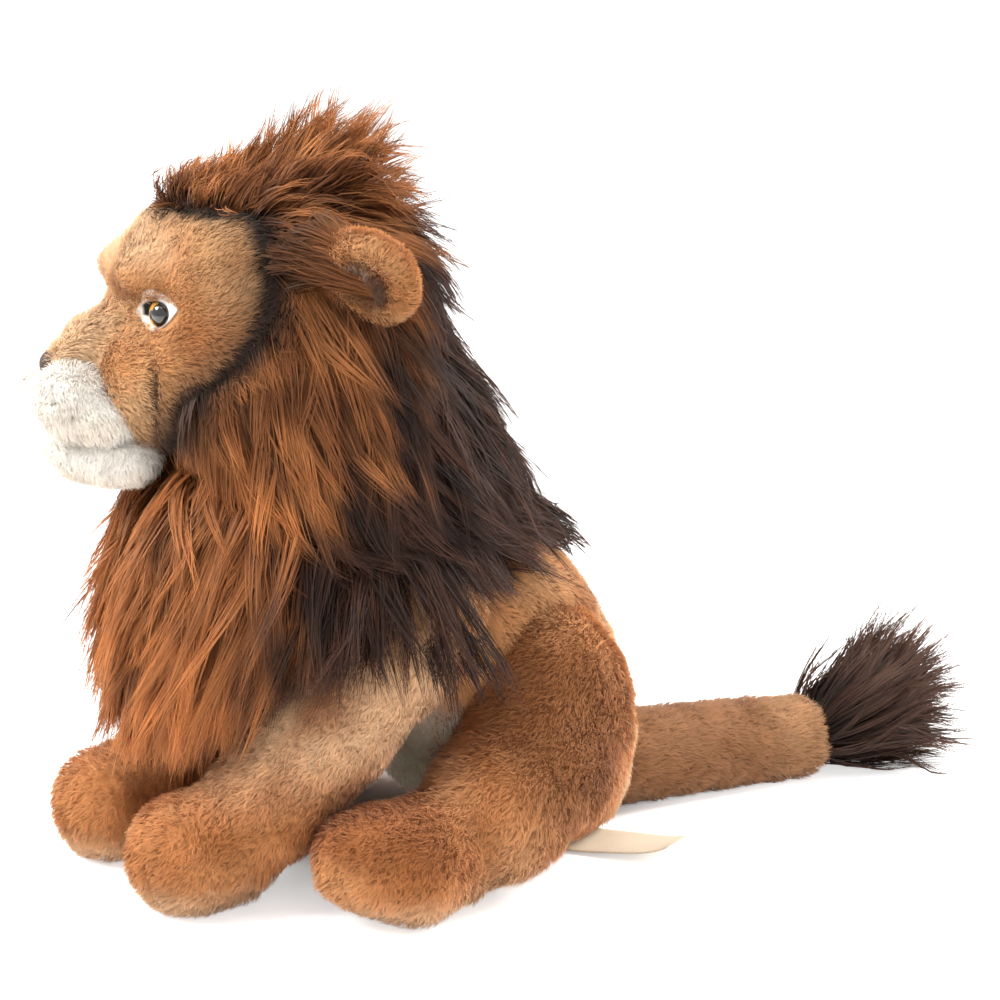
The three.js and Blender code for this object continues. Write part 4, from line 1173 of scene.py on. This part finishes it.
def eyes():
    iris = glossy_material("painted eye", None, 0.08, coat=1.0)
    washer = glossy_material("lock washer", (0.8, 0.8, 0.78), 0.5, dents=0.2)
    felt = cloth_material("white felt", None, grain=1400.0, depth=0.5, dark=1.0, patch=0.08)
    black, gold, deep = colour(10, 9, 9), colour(214, 160, 70), colour(150, 92, 30)
    radius, n = 5.2, 31
    for side, word in SIDES:
        x, y, z = gaze(side, 38)
        B = gaze(side, 14)
        o = from_head(np.array([24.5 * side, 59.8, 225.7]))
        arcs = [(radius * math.sin(a), 3.8 * math.cos(a) ** 0.9) for a in np.linspace(0.02, math.pi / 2, 40)]
        V, Q, T = disc(arcs + [(radius, -2.4)], 72)
        to = V[:, :2] - np.array([0.6 * side, 0])
        far = np.hypot(to[:, 0], to[:, 1])
        ring = ease(far, 1.6, 2.0) * ease(-far, -4.9, -4.6)
        ring = ring * ease(-to[:, 0] * side / np.maximum(far, 0.1), -0.45, -0.1)
        tint = blend_colours(black, (blend_colours(gold, (deep, ease(far, 4.2, 5.2))), ring))
        piece("eye_iris_" + word, V @ B + o + x * 0.6 * side, Q, T, "head", iris, tint=tint,
              replaces=("eye_" + word,))
        V, Q, T = disc([(0.5, 1.0), (4.6, 1.0), (5.2, 0.6), (5.2, -0.6), (2.4, -1.2)])
        piece("eye_lock_" + word, V @ B + o - z * 8, Q, T, "head", washer,
              replaces=("eye_washer_" + word,))
        a = np.linspace(-1, 1, n)
        g, h = np.stack(np.meshgrid(a, a, indexing="ij"), -1).reshape(-1, 2).T
        high = (7.4 * (1 - np.abs(g) ** 1.5) + 0.4) * h
        P = o + g[:, None] * 10.5 * x + (high + 1.6 * side * g + 1.6)[:, None] * y - z * 1.5
        for _ in range(4):
            P = P - z * ((head_skin(P) - 0.7) / np.maximum(slope(head_skin, P) @ z, 0.4))[:, None]
        # A near black wedge on the felt beside the eye: painted shadow in the socket.
        dark = ease(-g * side, -0.15, 0.0) * ease(g * side, -0.74, -0.62)
        dark = dark * ease(h, -0.5, -0.3) * ease(-h, -0.75, -0.5)
        ob = piece("eye_felt_" + word, P, grid(n, n), None, "head", felt,
                   tint=blend_colours(colour(238, 236, 232), (colour(22, 17, 15), dark)),
                   replaces=("eye_patch_" + word,))
        thicken(ob, 0.0009)


def nose():
    """A small pad, wider at the top, with two nostril dents."""
    def form(P):
        M = mirrored(to_head(P))
        return shaped(M, egg(M, (0, 96, 205), (7.4, 5, 4)), ((0, 97.2, 201.3), (4.2, 4, 4.8), 5),
                      ((5, 100.6, 203.4), (1.9, 2.6, 1.5), -1.5), ((0, 102.5, 200), (0.8, 3.5, 6), -1.2))

    cloth = glossy_material("nose cloth", colour(70, 52, 48), 0.62, dents=0.5, scale=2200.0, change=0.3)
    sewn("nose_skin", form, ((-36, -212, 190), (-6, -184, 216)), 0.8, "head", cloth, ("nose_pad",))


def label():
    """The bare ribbon, sewn in under the seat, with its free end curling up."""
    tape = cloth_material("label tape", colour(232, 216, 190), rough=0.7, grain=2600.0, depth=0.6, dark=1.0, patch=0.1)
    long, wide, n, m = 46, 22, 40, 14
    ang = math.pi / 2 - 0.82
    along, across = np.array([math.cos(ang), math.sin(ang), 0]), np.array([math.sin(ang), -math.cos(ang), 0])
    t, w = np.linspace(0, 1, n)[:, None], np.linspace(0, 1, m)
    rise = 0.9 + 3 * (1 - w) * (1 - t) + 5.2 * t ** 2.2 + 0.9 * np.sin(t * 5) * t + 2.6 * w * t ** 5
    run = np.sqrt(np.maximum((long / (n - 1)) ** 2 - np.diff(rise, axis=0) ** 2, 0.01)).cumsum(0)
    run = np.concatenate([np.zeros((1, m)), run])
    V = np.array([28, 5, 0]) + run[..., None] * along + (wide * w)[None, :, None] * across + rise[..., None] * [0, 0, 1]
    ob = piece("label_tape", V.reshape(-1, 3), np.roll(grid(n, m), -1, 1), None, "torso", tape,
               replaces=("care_label",))
    thicken(ob, 0.0004)


floor_and_world()
lamps_and_camera()
body_plush()
fillings()
face()
eyes()
nose()
ears()
mane_draws = np.random.default_rng(SEED)
mane_on_head(mane_draws)
mane_on_body(mane_draws)
tuft()
label()
